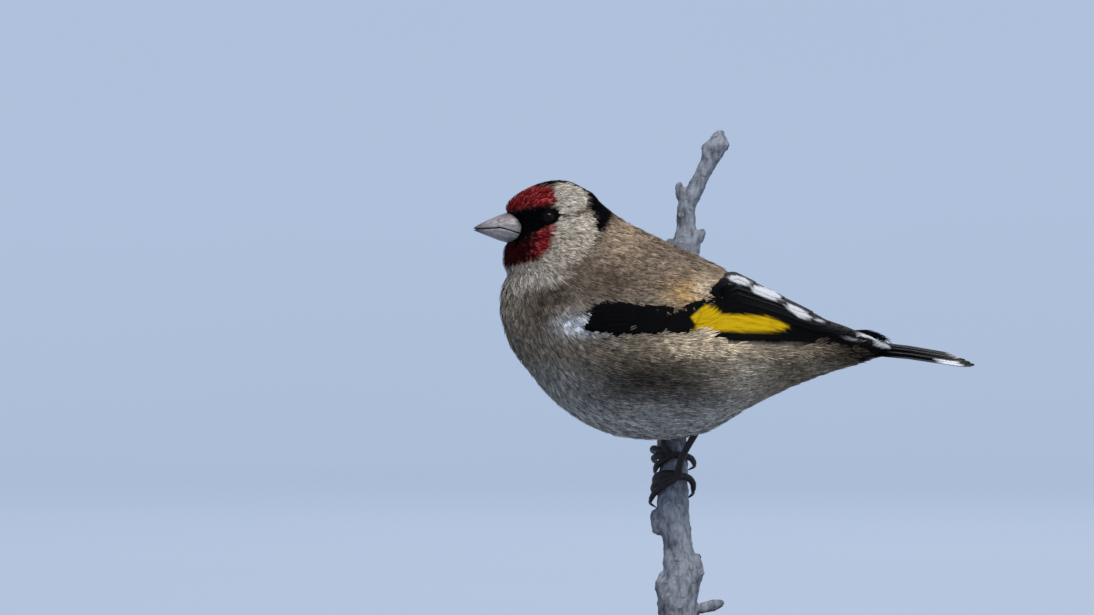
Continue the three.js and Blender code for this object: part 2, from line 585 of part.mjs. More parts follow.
// Perch and stand
add("twig", makeTwig(), colours.bark, 0.9);
const rodShape = new THREE.CylinderGeometry(rod.radius, rod.radius, twigFoot + 3 - 3.3, rod.sides).rotateX(Math.PI / 2);
add("stand_rod", solidOf(rodShape.translate(rod.x, rod.y, (twigFoot + 3 + 3.3) / 2)), colours.steel, 0.35, 0.8);
const disc = [[0, 0], [base.radius - 0.8, 0], [base.radius, 0.8], [base.radius, base.height - base.bevel],
  [base.radius - base.bevel, base.height], [0, base.height]].map(([x, y]) => new THREE.Vector2(x, y));
const baseShape = new THREE.LatheGeometry(disc, base.sides).rotateX(Math.PI / 2);
const socket = new THREE.CylinderGeometry(rod.radius + gap, rod.radius + gap, 10, rod.sides).rotateX(Math.PI / 2);
add("stand_base", solidOf(baseShape).subtract(solidOf(socket.translate(rod.x, rod.y, 8))), colours.wood, 0.5);

export default group;
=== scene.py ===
import math

import bpy
import numpy as np
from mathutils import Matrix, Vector
from mathutils.bvhtree import BVHTree


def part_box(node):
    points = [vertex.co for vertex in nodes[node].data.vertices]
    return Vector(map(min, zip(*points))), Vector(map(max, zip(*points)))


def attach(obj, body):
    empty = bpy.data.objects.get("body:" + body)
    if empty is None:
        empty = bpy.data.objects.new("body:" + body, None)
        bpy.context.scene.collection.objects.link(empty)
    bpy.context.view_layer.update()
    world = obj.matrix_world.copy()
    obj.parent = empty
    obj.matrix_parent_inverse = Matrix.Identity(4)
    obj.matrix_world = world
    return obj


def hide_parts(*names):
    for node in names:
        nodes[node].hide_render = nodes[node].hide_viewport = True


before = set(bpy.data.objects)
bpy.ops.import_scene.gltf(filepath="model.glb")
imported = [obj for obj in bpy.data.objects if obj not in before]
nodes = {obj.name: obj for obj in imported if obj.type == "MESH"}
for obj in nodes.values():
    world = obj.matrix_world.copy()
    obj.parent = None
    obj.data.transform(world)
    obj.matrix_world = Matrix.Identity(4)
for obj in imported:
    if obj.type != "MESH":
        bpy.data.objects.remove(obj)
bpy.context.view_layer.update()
scene = bpy.context.scene
mm = 0.001  # every size and place below is in millimetres
randomHand = np.random.default_rng(31)


# Small helpers
def smoothstep(low, high, value):
    t = np.clip((value - low) / (high - low), 0, 1)
    return t * t * (3 - 2 * t)


def unit(v):
    return v / np.maximum(np.linalg.norm(v, axis=-1, keepdims=True), 1e-9)


def onLine(points, at):
    xs, ys = zip(*points)
    return np.interp(at, xs, ys)


def srgb(r, g, b):
    c = np.array([r, g, b], float) / 255
    return np.where(c <= 0.04045, c / 12.92, ((c + 0.055) / 1.055) ** 2.4)


def meshObject(name, vertices, faces):
    mesh = bpy.data.meshes.new(name)
    vertices = np.asarray(vertices, np.float32).reshape(-1, 3) * mm
    faces = np.asarray(faces, np.int32)
    sides = faces.shape[1]
    mesh.vertices.add(len(vertices))
    mesh.vertices.foreach_set("co", vertices.ravel())
    mesh.loops.add(faces.size)
    mesh.loops.foreach_set("vertex_index", faces.ravel())
    mesh.polygons.add(len(faces))
    mesh.polygons.foreach_set("loop_start", np.arange(0, faces.size, sides, dtype=np.int32))
    mesh.update(calc_edges=True)
    mesh.validate()
    mesh.polygons.foreach_set("use_smooth", np.full(len(mesh.polygons), True))
    made = bpy.data.objects.new(name, mesh)
    scene.collection.objects.link(made)
    return made


def setTint(made, tints):
    layer = made.data.attributes.new("tint", "FLOAT_COLOR", "POINT")
    rgba = np.ones((len(made.data.vertices), 4), np.float32)
    rgba[:, :3] = np.asarray(tints, np.float32).reshape(-1, 3)
    layer.data.foreach_set("color", rgba.ravel())


def setUv(made, name, perVertex):
    layer = made.data.uv_layers.new(name=name)
    corner = np.zeros(len(made.data.loops), np.int32)
    made.data.loops.foreach_get("vertex_index", corner)
    layer.uv.foreach_set("vector", np.asarray(perVertex, np.float32).reshape(-1, 2)[corner].ravel())


def setMaterial(made, material):
    made.data.materials.clear()
    made.data.materials.append(material)


def finishModifiers(made):
    tree = bpy.context.evaluated_depsgraph_get()
    mesh = bpy.data.meshes.new_from_object(made.evaluated_get(tree))
    made.modifiers.clear()
    made.data = mesh


# A copy of a node with an even, finer surface
def remeshed(name, vertices, faces, voxel, smoothing):
    made = meshObject(name, vertices, faces)
    fuse = made.modifiers.new("fuse", "REMESH")
    fuse.mode = "VOXEL"
    fuse.voxel_size = voxel * mm
    fuse.use_smooth_shade = True
    soften = made.modifiers.new("soften", "SMOOTH")
    soften.iterations = smoothing
    soften.factor = 0.5
    finishModifiers(made)
    return made


def readVertices(made, name):
    values = np.zeros(len(made.data.vertices) * 3, np.float32)
    made.data.vertices.foreach_get(name, values)
    return values.reshape(-1, 3)


def positions(made):
    return readVertices(made, "co") / mm


def normals(made):
    return readVertices(made, "normal")


def triangles(made):
    made.data.calc_loop_triangles()
    tri = np.zeros(len(made.data.loop_triangles) * 3, np.int32)
    made.data.loop_triangles.foreach_get("vertices", tri)
    return tri.reshape(-1, 3)


def nodeMesh(name):
    return positions(nodes[name]), triangles(nodes[name])


def treeOf(made):
    return BVHTree.FromPolygons(positions(made).tolist(), triangles(made).tolist())


def nearest(tree, points):
    found = [tree.find_nearest(Vector(p)) for p in points]
    return np.array([f[0] for f in found]), np.array([f[1] for f in found])


# Two sets of points and faces as one
def merged(first, second):
    return np.concatenate([first[0], second[0]]), np.concatenate([first[1], second[1] + len(first[0])])


# Moves a surface inwards along its normals
def sink(made, depth):
    sunk = (positions(made) - normals(made) * depth) * mm
    made.data.vertices.foreach_set("co", sunk.astype(np.float32).ravel())
    made.data.update()


# Faces of a closed band of points, by row and turn
def bandFaces(rows, turns):
    index = np.arange(rows * turns).reshape(rows, turns)
    after = np.roll(index, -1, axis=1)
    return np.stack([index[:-1], index[1:], after[1:], after[:-1]], axis=-1).reshape(-1, 4)


# Rides on the body, takes the material given, and stands for the nodes named, which it hides
def placePiece(made, material, slot, *standsFor):
    setMaterial(made, material)
    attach(made, "root")
    if standsFor:
        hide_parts(*standsFor)


# A node's solid with a finer surface, in its place
def refine(name, node, look, material, slot):
    placePiece(remeshed(name, *nodeMesh(node), look["voxel"], look["smoothing"]), material, slot, node)


# Signed distance to an outline in the side view, more than 0 inside it
def inside(outline, x, z):
    outline = np.array(outline, float)
    best = np.full(x.shape, 1e9)
    crossings = np.zeros(x.shape, int)
    for (ax, az), (bx, bz) in zip(outline, np.roll(outline, -1, axis=0)):
        ex, ez = bx - ax, bz - az
        t = np.clip(((x - ax) * ex + (z - az) * ez) / (ex * ex + ez * ez), 0, 1)
        best = np.minimum(best, np.hypot(x - ax - t * ex, z - az - t * ez))
        if az != bz:
            at = ax + (z - az) / (bz - az) * ex
            crossings += (((az > z) != (bz > z)) & (x < at)).astype(int)
    return np.where(crossings % 2 == 1, best, -best)


# Signed distance to an ellipse in the side view, turned down towards the tail by its tilt
def insideOval(x, z, middle, half, tilt):
    a = math.radians(tilt)
    along = (x - middle[0]) * math.cos(a) - (z - middle[1]) * math.sin(a)
    across = (x - middle[0]) * math.sin(a) + (z - middle[1]) * math.cos(a)
    reach = np.hypot(along / half[0], across / half[1])
    return (1 - reach) * half[1]


# Node helpers for materials
def addNode(tree, kind, **inputs):
    made = tree.nodes.new(kind)
    for name, value in inputs.items():
        made.inputs[name.replace("_", " ")].default_value = value
    return made


# Links by name or number of socket, row by row: a node and its output, then a node and its input
def linkAll(tree, *rows):
    for source, output, target, given in rows:
        out = next(s for s in source.outputs if s.name == output and s.enabled)
        fits = (s for k, s in enumerate(target.inputs) if k == given or (s.name == given and s.enabled))
        tree.links.new(out, next(fits))


# Gives a group its sockets, each with its name, kind and first value
def addSockets(tree, inputs, outputs):
    for way, sockets in (("INPUT", inputs), ("OUTPUT", outputs)):
        for name, kind, value in sockets:
            socket = tree.interface.new_socket(name, in_out=way, socket_type="NodeSocket" + kind)
            if value is not None:
                socket.default_value = value
    return tree.nodes.new("NodeGroupInput"), tree.nodes.new("NodeGroupOutput")


# One pattern of fine relief, shared by horn, scutes, bark, wood and steel
def makeGrain():
    tree = bpy.data.node_groups.new("grain", "ShaderNodeTree")
    inputs = (("Vector", "Vector", None), ("Scale", "Float", 1000), ("Depth", "Float", 0.0001),
              ("Strength", "Float", 0.4))
    start, end = addSockets(tree, inputs, (("Value", "Float", None), ("Normal", "Vector", None)))
    noise = addNode(tree, "ShaderNodeTexNoise", Detail=5, Roughness=0.6)
    bump = addNode(tree, "ShaderNodeBump")
    linkAll(tree, (start, "Vector", noise, "Vector"), (start, "Scale", noise, "Scale"),
            (start, "Strength", bump, "Strength"), (start, "Depth", bump, "Distance"),
            (noise, "Fac", bump, "Height"), (noise, "Fac", end, "Value"), (bump, "Normal", end, "Normal"))
    return tree


grain = makeGrain()


def newMaterial(name, roughness, specular):
    made = bpy.data.materials.new(name)
    made.use_nodes = True
    shader = made.node_tree.nodes["Principled BSDF"]
    shader.inputs["Roughness"].default_value = roughness
    shader.inputs["Specular IOR Level"].default_value = specular
    return made, made.node_tree, shader


# A colour between two, by a value that runs between two limits, linked into a socket if one is given
def addBlend(tree, value, limits, first, second, most=1.0, into=None):
    share = addNode(tree, "ShaderNodeMapRange", From_Min=limits[0], From_Max=limits[1], To_Max=most)
    mix = tree.nodes.new("ShaderNodeMix")
    mix.data_type = "RGBA"
    tree.links.new(value, share.inputs["Value"])
    tree.links.new(share.outputs["Result"], mix.inputs["Factor"])
    for name, colour in (("A", first), ("B", second)):
        if hasattr(colour, "is_linked"):
            tree.links.new(colour, mix.inputs[name])
        else:
            mix.inputs[name].default_value = (*colour, 1)
    if into:
        tree.links.new(mix.outputs["Result"], into)
    return mix.outputs["Result"]


# A material whose two colours and relief follow the shared grain, in stretched Object coordinates
def grainMaterial(name, look):
    look = {"stretch": (1, 1, 1), "limits": (0.3, 0.7), "metallic": 0} | look
    made, tree, shader = newMaterial(name, look["roughness"], look["specular"])
    shader.inputs["Metallic"].default_value = look["metallic"]
    place = addNode(tree, "ShaderNodeTexCoord")
    stretched = addNode(tree, "ShaderNodeMapping", Scale=look["stretch"])
    relief = addNode(tree, "ShaderNodeGroup")
    relief.node_tree = grain
    for key in ("Scale", "Depth", "Strength"):
        relief.inputs[key].default_value = look[key.lower()]
    linkAll(tree, (place, "Object", stretched, "Vector"), (stretched, "Vector", relief, "Vector"),
            (relief, "Normal", shader, "Normal"))
    blend = addBlend(tree, relief.outputs["Value"], look["limits"], look["first"], look["second"],
                     into=shader.inputs["Base Color"])
    return made, tree, shader, place, blend


# Markings, one set for the skin and the coat. Outlines are [x, z] in the side view, both sides alike.
outlines = {
    "redBrow": [(-41, 116.6), (-39, 119.4), (-36, 122.4), (-32.4, 124.6), (-31.6, 122.8),
        (-28, 122.6), (-27.9, 121), (-27.1, 119.6), (-28.2, 118.2), (-33.3, 117.7), (-37.8, 117.2)],
    "redCheek": [(-41.5, 109.9), (-38, 109.9), (-34.9, 110.4), (-32.3, 111.8), (-29.8, 113.7),
        (-27.3, 113.7), (-28, 110.4), (-28.7, 108.1), (-31.3, 105.9), (-34.4, 104.7), (-39.2, 103.9),
        (-41.5, 104.2)],
    "mask": [(-42, 117), (-37.8, 117.4), (-33.3, 117.9), (-29.8, 118.4), (-27.3, 118.4), (-25.6, 116.9),
        (-25.3, 115.9), (-27, 114.3), (-29.8, 113.3), (-32.3, 111.4), (-34.9, 109.9), (-38, 109.5),
        (-42, 109.9)],
    "crown": [(-32.6, 125.6), (-31.8, 122.7), (-27.7, 123), (-26.2, 123.7), (-25.2, 124.8),
        (-24, 127)],
    "nape": [(-22.4, 125), (-19.3, 123.6), (-16.6, 120.9), (-15.2, 118), (-14.6, 115.6), (-15.5, 113.3),
        (-16.5, 111.5), (-17.4, 110.2), (-19.2, 107.7), (-18.2, 109.9), (-17.8, 111.5), (-18.4, 113.8),
        (-19.1, 116.3), (-20.1, 117.6), (-20, 119.7), (-20.8, 121.7)],
    "cheek": [(-25.4, 116), (-19, 116.4), (-18, 113.8), (-17.7, 111.5), (-19.6, 107.4),
        (-24, 104.2), (-29.4, 103.2), (-31.3, 105.9), (-28.7, 108.1), (-28, 110.4), (-27.2, 113.6),
        (-26.6, 114.6)],
    "panel": [(-20.8, 93.6), (-17, 95), (-13, 94.8), (-6.9, 93.2), (-1, 92.5), (3.4, 91.6), (3.4, 88.9),
        (-8, 88.9), (-15, 89), (-18.2, 90.4)],
    "tertials": [(8.8, 96.4), (9.9, 98.6), (11.9, 100.2), (12.8, 103.5), (24, 98.8), (36, 92.6),
        (36, 87.2), (24, 86.2), (12, 86.8), (5, 89.2), (3.4, 91.4), (7.6, 95.2)],
    "throat": [(-42, 104), (-34.4, 104.9), (-29, 104), (-24.6, 101.4), (-30, 99), (-42, 97)],
}
colours = {
    "red": srgb(118, 26, 30), "paleRed": srgb(172, 76, 74), "darkRed": srgb(25, 4, 6),
    "black": srgb(4, 4, 6), "cream": srgb(168, 159, 146), "cheek": srgb(166, 156, 142),
    # the throat colour is the pale throat made darker in part as painted shade, for the underside of the
    # head
    "throat": srgb(160, 152, 142), "mantle": srgb(114, 100, 87), "side": srgb(76, 65, 55),
    # the near-black brown is painted shade, laid on only by the patches below
    "breast": srgb(128, 117, 102), "belly": srgb(176, 174, 168), "shadeDark": srgb(22, 16, 11),
    "flank": srgb(198, 178, 148), "vent": srgb(116, 104, 86), "rump": srgb(7, 7, 9),
    "buff": srgb(170, 138, 90), "pale": srgb(186, 176, 158), "white": srgb(220, 222, 226),
    "yellow": srgb(184, 150, 8), "napeBrown": srgb(158, 136, 112),
}
# The near-black brown patches are painted shade: under the head, low on the belly side below the wing, and
# under the wing tips.
patches = [  # [x, z], how wide and high, colour, strength, in the order they are laid on
    (-34, 92, 8, 12, "breast", 0.5), (-37.5, 95, 3, 9, "throat", 0.35), (-15, 100, 9, 5.5, "side", 0.8),
    (-12, 110, 5, 5, "napeBrown", 0.6), (-30.5, 93.5, 6.5, 5, "side", 0.75),
    (-28.5, 97, 4.5, 2.8, "shadeDark", 0.6), (-25, 88, 7, 6, "side", 0.35), (-8, 77.5, 16, 7.2, "shadeDark", 0.9),
    (3, 76, 9, 5, "shadeDark", 0.55), (-14, 83.5, 11, 3.5, "side", 0.3), (8, 86.0, 13, 2.8, "flank", 0.95),
    (17, 78, 6, 5, "pale", 0.5), (28, 81, 9, 5, "vent", 0.75), (41, 84.5, 8, 3, "vent", 0.55),
    (3.6, 97.4, 5.2, 3.3, "buff", 0.95), (7, 98.2, 2.6, 2.6, "pale", 0.6),
    (-21.6, 90.4, 4.8, 2.3, "white", 0.95), (-10, 66.5, 26, 5, "belly", 0.75),
    (-26, 76, 8, 6, "belly", 0.35), (40, 85.0, 6, 2, "shadeDark", 0.8),
]
creamPatch = {"middle": (-24.0, 120.2), "radius": 4.05, "above": 112, "ahead": -12,
              "rimBelow": 118.4, "rimBehind": -27.4}
zones = {  # depth runs from 0 at the back line to 1 at the belly
    "mantleDepth": (0.26, 0.44), "mantleFrom": (-32, -22), "bellyDepth": (0.62, 0.98), "bellyAt": 66,
    "backLine": [(-22, 119), (-9.4, 114), (0, 109.6), (12, 103.9), (24, 98), (37, 91.6), (50, 88)],
    "rumpFrom": (33.5, 36.5), "rumpLine": [(33, 87.2), (37, 86), (40, 84.5), (46, 83.6)],
}


def markings(points, spread=0.25):
    x, y, z = points.T
    back = onLine(zones["backLine"], x)
    depth = np.clip((back - z) / np.maximum(back - zones["bellyAt"], 6), 0, 1)
    jitter = randomHand.normal(0, spread, len(x))
    mantle = 1 - smoothstep(*zones["mantleDepth"], depth + jitter * 0.08)
    low = smoothstep(*zones["bellyDepth"], depth)
    tone = np.repeat(colours["breast"][None], len(x), axis=0)
    tone += (colours["mantle"] - tone) * (mantle * smoothstep(*zones["mantleFrom"], x))[:, None]
    tone += (colours["belly"] - tone) * (low * 0.8)[:, None]
    for px, pz, wide, high, name, strength in patches:
        reach = ((x + jitter * 1.5 - px) / wide) ** 2 + ((z + jitter - pz) / high) ** 2
        tone += (colours[name] - tone) * (strength * np.exp(-reach * 0.9))[:, None]

    def lay(name, share):
        nonlocal tone
        tone = tone + (colours[name] - tone) * share[:, None]

    def within(outline, edge):
        distance = inside(outlines[outline], x + jitter * 1.1, z + jitter[::-1] * 1.1)
        return smoothstep(-edge, edge, distance)

    aboveRump = z - onLine(zones["rumpLine"], x)
    lay("rump", smoothstep(*zones["rumpFrom"], x) * smoothstep(-0.2, 0.8, aboveRump))
    lay("throat", within("throat", 1.8))
    lay("cheek", within("cheek", 1.0))
    fromPatch = np.hypot(x - creamPatch["middle"][0], z - creamPatch["middle"][1])
    isHeadSide = (z > creamPatch["above"]) & (x < creamPatch["ahead"])
    lay("cream", smoothstep(-0.35, 0.45, creamPatch["radius"] - fromPatch + jitter * 0.4) * isHeadSide)
    rim = smoothstep(0.6, 0.15, np.abs(fromPatch - creamPatch["radius"] - 0.3)) * isHeadSide
    lay("side", rim * (z < creamPatch["rimBelow"]) * (x > creamPatch["rimBehind"]) * 0.8)
    red = np.maximum(within("redBrow", 0.4), within("redCheek", 0.6))
    lay("red", red)
    lay("paleRed", red * np.clip(jitter * 3, 0, 1) * 0.6)
    lay("darkRed", red * np.clip(-jitter * 3, 0, 1) * 0.6)
    chin = smoothstep(-30.6, -33.2, x + jitter * 2) * smoothstep(112.5, 110, z)
    lay("darkRed", within("redCheek", 0.5) * chin * 0.9)
    lay("black", within("mask", 0.4))
    lay("black", within("crown", 0.4))
    lay("black", (np.abs(y) < 2.6) * (x > -32) * (x < -17) * (z > 120) * 0.9)
    lay("black", within("nape", 0.5))
    # painted shade: black laid on the skin and the coat where the wing covers them
    lay("black", np.maximum(within("panel", 0.3), within("tertials", 0.3)))  # under the wing
    return tone


# The plumage's form, through the same sections as the solids, without their cuts and pockets.
# Each runs from a point on the back line to one on the breast or belly line, and is half * 2 wide.
bodySections = [  # top x, z, bottom x, z, half
    (-30, 113.6, -30.2, 113.2, 0), (-21.5, 119.3, -37.6, 104.8, 7.6), (-16.8, 119.2, -40.5, 98.5, 11.2),
    (-13.4, 116.8, -40.6, 92.5, 14), (-9.4, 114, -38.4, 85.4, 16.6), (-4.8, 111.9, -33.4, 78.6, 18.6),
    (0.2, 109.5, -26, 70.6, 19.9), (6.2, 106.8, -15, 64.6, 20.5), (12, 103.9, -3, 63.2, 20.1),
    (18, 100.9, 8, 65, 18.6), (24, 98, 17, 70.2, 16.2), (30.5, 94.8, 25.5, 74.5, 13),
    (37, 91.7, 34.5, 78.2, 9.9), (43.5, 89.4, 43, 80.9, 7.3), (48.5, 87.9, 48.5, 82.6, 5),
    (52, 86, 52, 83.8, 2.6), (53.4, 85, 53.4, 84.8, 0),
]
headSections = [  # the last number lays the sides of the face back behind the forehead and the chin
    (-38.6, 113.3, -38.6, 113.1, 0, 0), (-39.9, 117.4, -40, 108.8, 3.9, 4.2),
    (-38.4, 120.2, -40.3, 105.5, 6.3, 3.7), (-34, 122.9, -39.4, 103, 8.4, 1.9),
    (-29.4, 124.4, -35, 101.8, 9.5, 0.5), (-25, 124.4, -30, 101.6, 9.8, 0),
    (-20.8, 122.6, -25, 103, 9.2, 0), (-17.6, 120.4, -20.2, 106, 7.4, 0),
    (-15.6, 114, -15.6, 113.8, 0, 0),
]

form = {"along": 90, "around": 72, "voxel": 0.7, "smoothing": 10, "bodyDepth": 1.15, "headDepth": 0.6,
        "headX": (-12, -24), "headZ": (100, 105), "ragged": 0.05, "paintedShade": 0.8}


def loft(sections):
    along, around = form["along"], form["around"]
    rows = np.array([section + (0,) * (6 - len(section)) for section in sections], float)
    last = len(rows) - 1
    t = np.linspace(0, last, along)
    i = np.minimum(t.astype(int), last - 1)
    a, b, c, d = rows[np.maximum(i - 1, 0)], rows[i], rows[i + 1], rows[np.minimum(i + 2, last)]
    u = (t - i)[:, None]
    curve = (2 * a - 5 * b + 4 * c - d) * u * u + (3 * b - a - 3 * c + d) * u ** 3
    row = 0.5 * (2 * b + (c - a) * u + curve)
    turn = np.linspace(0, 2 * math.pi, around, endpoint=False)[None]
    middle, reach = (row[:, 0:2] + row[:, 2:4]) / 2, (row[:, 0:2] - row[:, 2:4]) / 2
    x = middle[:, :1] + reach[:, :1] * np.cos(turn) + row[:, 5:6] * np.sin(turn) ** 2
    y = -np.maximum(row[:, 4:5], 0) * np.sin(turn)
    z = middle[:, 1:] + reach[:, 1:] * np.cos(turn)
    return np.stack([x, y, z], axis=-1).reshape(-1, 3), bandFaces(along, around)


skin = remeshed("skin", *merged(loft(bodySections), loft(headSections)), form["voxel"], form["smoothing"])
formTree = treeOf(skin)
x, y, z = positions(skin).T
headShare = smoothstep(*form["headX"], x) * smoothstep(*form["headZ"], z)
depth = form["bodyDepth"] + (form["headDepth"] - form["bodyDepth"]) * headShare
sink(skin, depth[:, None])
skinTree = treeOf(skin)
unwrap = {"from": -48, "length": 106, "margin": 0.02, "share": 0.94, "axis": [
    (-48, 112), (-36, 111), (-27, 106), (-15, 97), (0, 87), (15, 84), (30, 85), (45, 85.5), (60, 84.5)]}


# An unwrap of the skin round the bird's axis, open along the belly
def unwrapped(points):
    x, y, z = points.T
    along = (x - unwrap["from"]) / unwrap["length"]
    around = np.arctan2(y, z - onLine(unwrap["axis"], x)) / (2 * math.pi) + 0.5
    return unwrap["margin"] + unwrap["share"] * np.stack([along, around], axis=1)


# painted shade: the skin under the coat is darker than its markings, for the shade between the tufts
setTint(skin, markings(positions(skin), form["ragged"]) * form["paintedShade"])
setUv(skin, "OFBake", unwrapped(positions(skin)))
print("skin", len(skin.data.vertices))

# Feather materials: the markings come from the mesh, the barbs and the mottling from the material
featherLook = {"soft": (0.9, 0.03, 1.8), "vane": (0.55, 0.03, 0.35),  # roughness, specular, mottling
               "mottleScale": 1100, "mottleDetail": 3, "barbScale": 9, "barbs": 0.35, "barbDepth": 0.00012}
featherTone = bpy.data.node_groups.new("feather tone", "ShaderNodeTree")
start, end = addSockets(featherTone, [("Mottling", "Float", 0.2)], [("Color", "Color", None)])
marks = addNode(featherTone, "ShaderNodeAttribute")
marks.attribute_name = "tint"
place = addNode(featherTone, "ShaderNodeTexCoord")
cloud = addNode(featherTone, "ShaderNodeTexNoise", Scale=featherLook["mottleScale"],
                Detail=featherLook["mottleDetail"])
centred = addNode(featherTone, "ShaderNodeMath")
centred.operation = "SUBTRACT"
centred.inputs[1].default_value = 0.5
share = addNode(featherTone, "ShaderNodeMath")
share.operation = "MULTIPLY_ADD"
share.inputs[2].default_value = 1.0
shaded = addNode(featherTone, "ShaderNodeVectorMath")
shaded.operation = "SCALE"
linkAll(featherTone, (place, "Object", cloud, "Vector"), (cloud, "Fac", centred, 0),
        (centred, "Value", share, 0), (start, "Mottling", share, 1), (marks, "Color", shaded, 0),
        (share, "Value", shaded, "Scale"), (shaded, "Vector", end, "Color"))


def featherMaterial(name, roughness, specular, mottling):
    made, tree, shader = newMaterial(name, roughness, specular)
    tone = addNode(tree, "ShaderNodeGroup")
    tone.node_tree = featherTone
    tone.inputs["Mottling"].default_value = mottling
    linkAll(tree, (tone, "Color", shader, "Base Color"))
    return made, tree, shader


featherSoft = featherMaterial("feather soft", *featherLook["soft"])[0]
featherVane, tree, shader = featherMaterial("feather vane", *featherLook["vane"])
vaneUv = addNode(tree, "ShaderNodeUVMap")
vaneUv.uv_map = "Vane"
barbs = addNode(tree, "ShaderNodeTexWave", Scale=featherLook["barbScale"], Distortion=0.8)
barbs.bands_direction = "DIAGONAL"
barbBump = addNode(tree, "ShaderNodeBump", Strength=featherLook["barbs"], Distance=featherLook["barbDepth"])
linkAll(tree, (vaneUv, "UV", barbs, "Vector"), (barbs, "Fac", barbBump, "Height"),
        (barbBump, "Normal", shader, "Normal"))
placePiece(skin, featherSoft, "body_feathers", "head", "neck", "torso", "rump")


# Points spread over the skin where a test keeps them, one to each cell of the spacing
def scatter(tries, keep, spacing):
    count = tries
    tri = triangles(skin)
    co, nor = positions(skin), normals(skin)
    a, b, c = co[tri[:, 0]], co[tri[:, 1]], co[tri[:, 2]]
    area = np.linalg.norm(np.cross(b - a, c - a), axis=1)
    t = tri[randomHand.choice(len(tri), count, p=area / area.sum())]
    u, v = randomHand.random((2, count))
    flip = u + v > 1
    u[flip], v[flip] = 1 - u[flip], 1 - v[flip]
    share = np.stack([1 - u - v, u, v])[..., None]
    place = co[t[:, 0]] * share[0] + co[t[:, 1]] * share[1] + co[t[:, 2]] * share[2]
    normal = unit(nor[t[:, 0]] * share[0] + nor[t[:, 1]] * share[1] + nor[t[:, 2]] * share[2])
    wanted = keep(place)
    place, normal = place[wanted], normal[wanted]
    cells = np.floor(place / spacing).astype(np.int64)
    key = (cells[:, 0] * 73856093) ^ (cells[:, 1] * 19349663) ^ (cells[:, 2] * 83492791)
    first = np.unique(key, return_index=True)[1]
    return place[first], normal[first]


# The folded wing's lower edge, [x, z], and how far round its upper edge lies, in degrees from straight up.
# The flank feathers end at flankTop, and the back feathers at mantleEdge.
wingLow = [(-26, 92.5), (-21, 89.6), (-15, 88), (4, 88), (16, 85.8), (28, 85), (40, 84.5), (53, 84.3)]
wingTurn = [(-26, 84), (-16, 66), (-7, 69), (2, 69), (6, 62), (9, 48), (12.5, 22), (15, 5), (40, 5),
            (46, 40), (53, 74)]
flankTop = [(-26, 93.0), (-21, 90.2), (-15, 88.6), (4, 88.0), (7, 86.6), (12, 84.9), (15, 84.4),
            (21, 84.3), (30, 84.9), (38, 85.0), (48, 83.6)]
mantleEdge = [(-26, 93), (-22.4, 94.4), (-18, 96.0), (-13, 95.7), (-6.9, 94.1), (-1, 93.4), (3.8, 92.6),
              (7.3, 95.4), (9.3, 98.3), (11.4, 100), (12.2, 104), (13, 112)]


# The lie of the coat: away from the bill on the head, then back along the body to the tail
def lieAt(points):
    x, y, z = points.T
    fromBill = unit(points - np.array([-43.0, 0, 113.5]))
    slope = onLine([(64, 0.25), (80, -0.05), (86, -0.1), (110, -0.55)], z)
    slope = slope + 0.22 * np.exp(-((z - onLine(wingLow, x)) / 2.2) ** 2) * (x > -17) * (x < 6)
    back = unit(np.stack([np.ones(len(x)), -0.01 * y, slope], axis=1))
    breast = unit(np.stack([np.full(len(x), 0.42), 0.02 * y, np.full(len(x), -1.0)], axis=1))
    front = (smoothstep(-14, -34, x) * smoothstep(110, 98, z))[:, None]
    body = unit(back * (1 - front) + breast * front)
    head = (smoothstep(-14, -24, x) * smoothstep(99, 105, z))[:, None]
    return unit(body * (1 - head) + fromBill * head)


tuft = {
    "steps": 3, "root": 0.15, "middle": 0.72, "tip": (0.72, 1.15), "stray": 0.13, "ragged": 0.24,
    "bladeStray": 0.035, "bladeWidth": 0.62, "taper": 0.84, "hang": 0.10, "turn": 0.25,
    "paintedShade": (0.52, 0.58), "bladeTone": (0.55, 1.35), "featherTone": (0.6, 1.36),
}


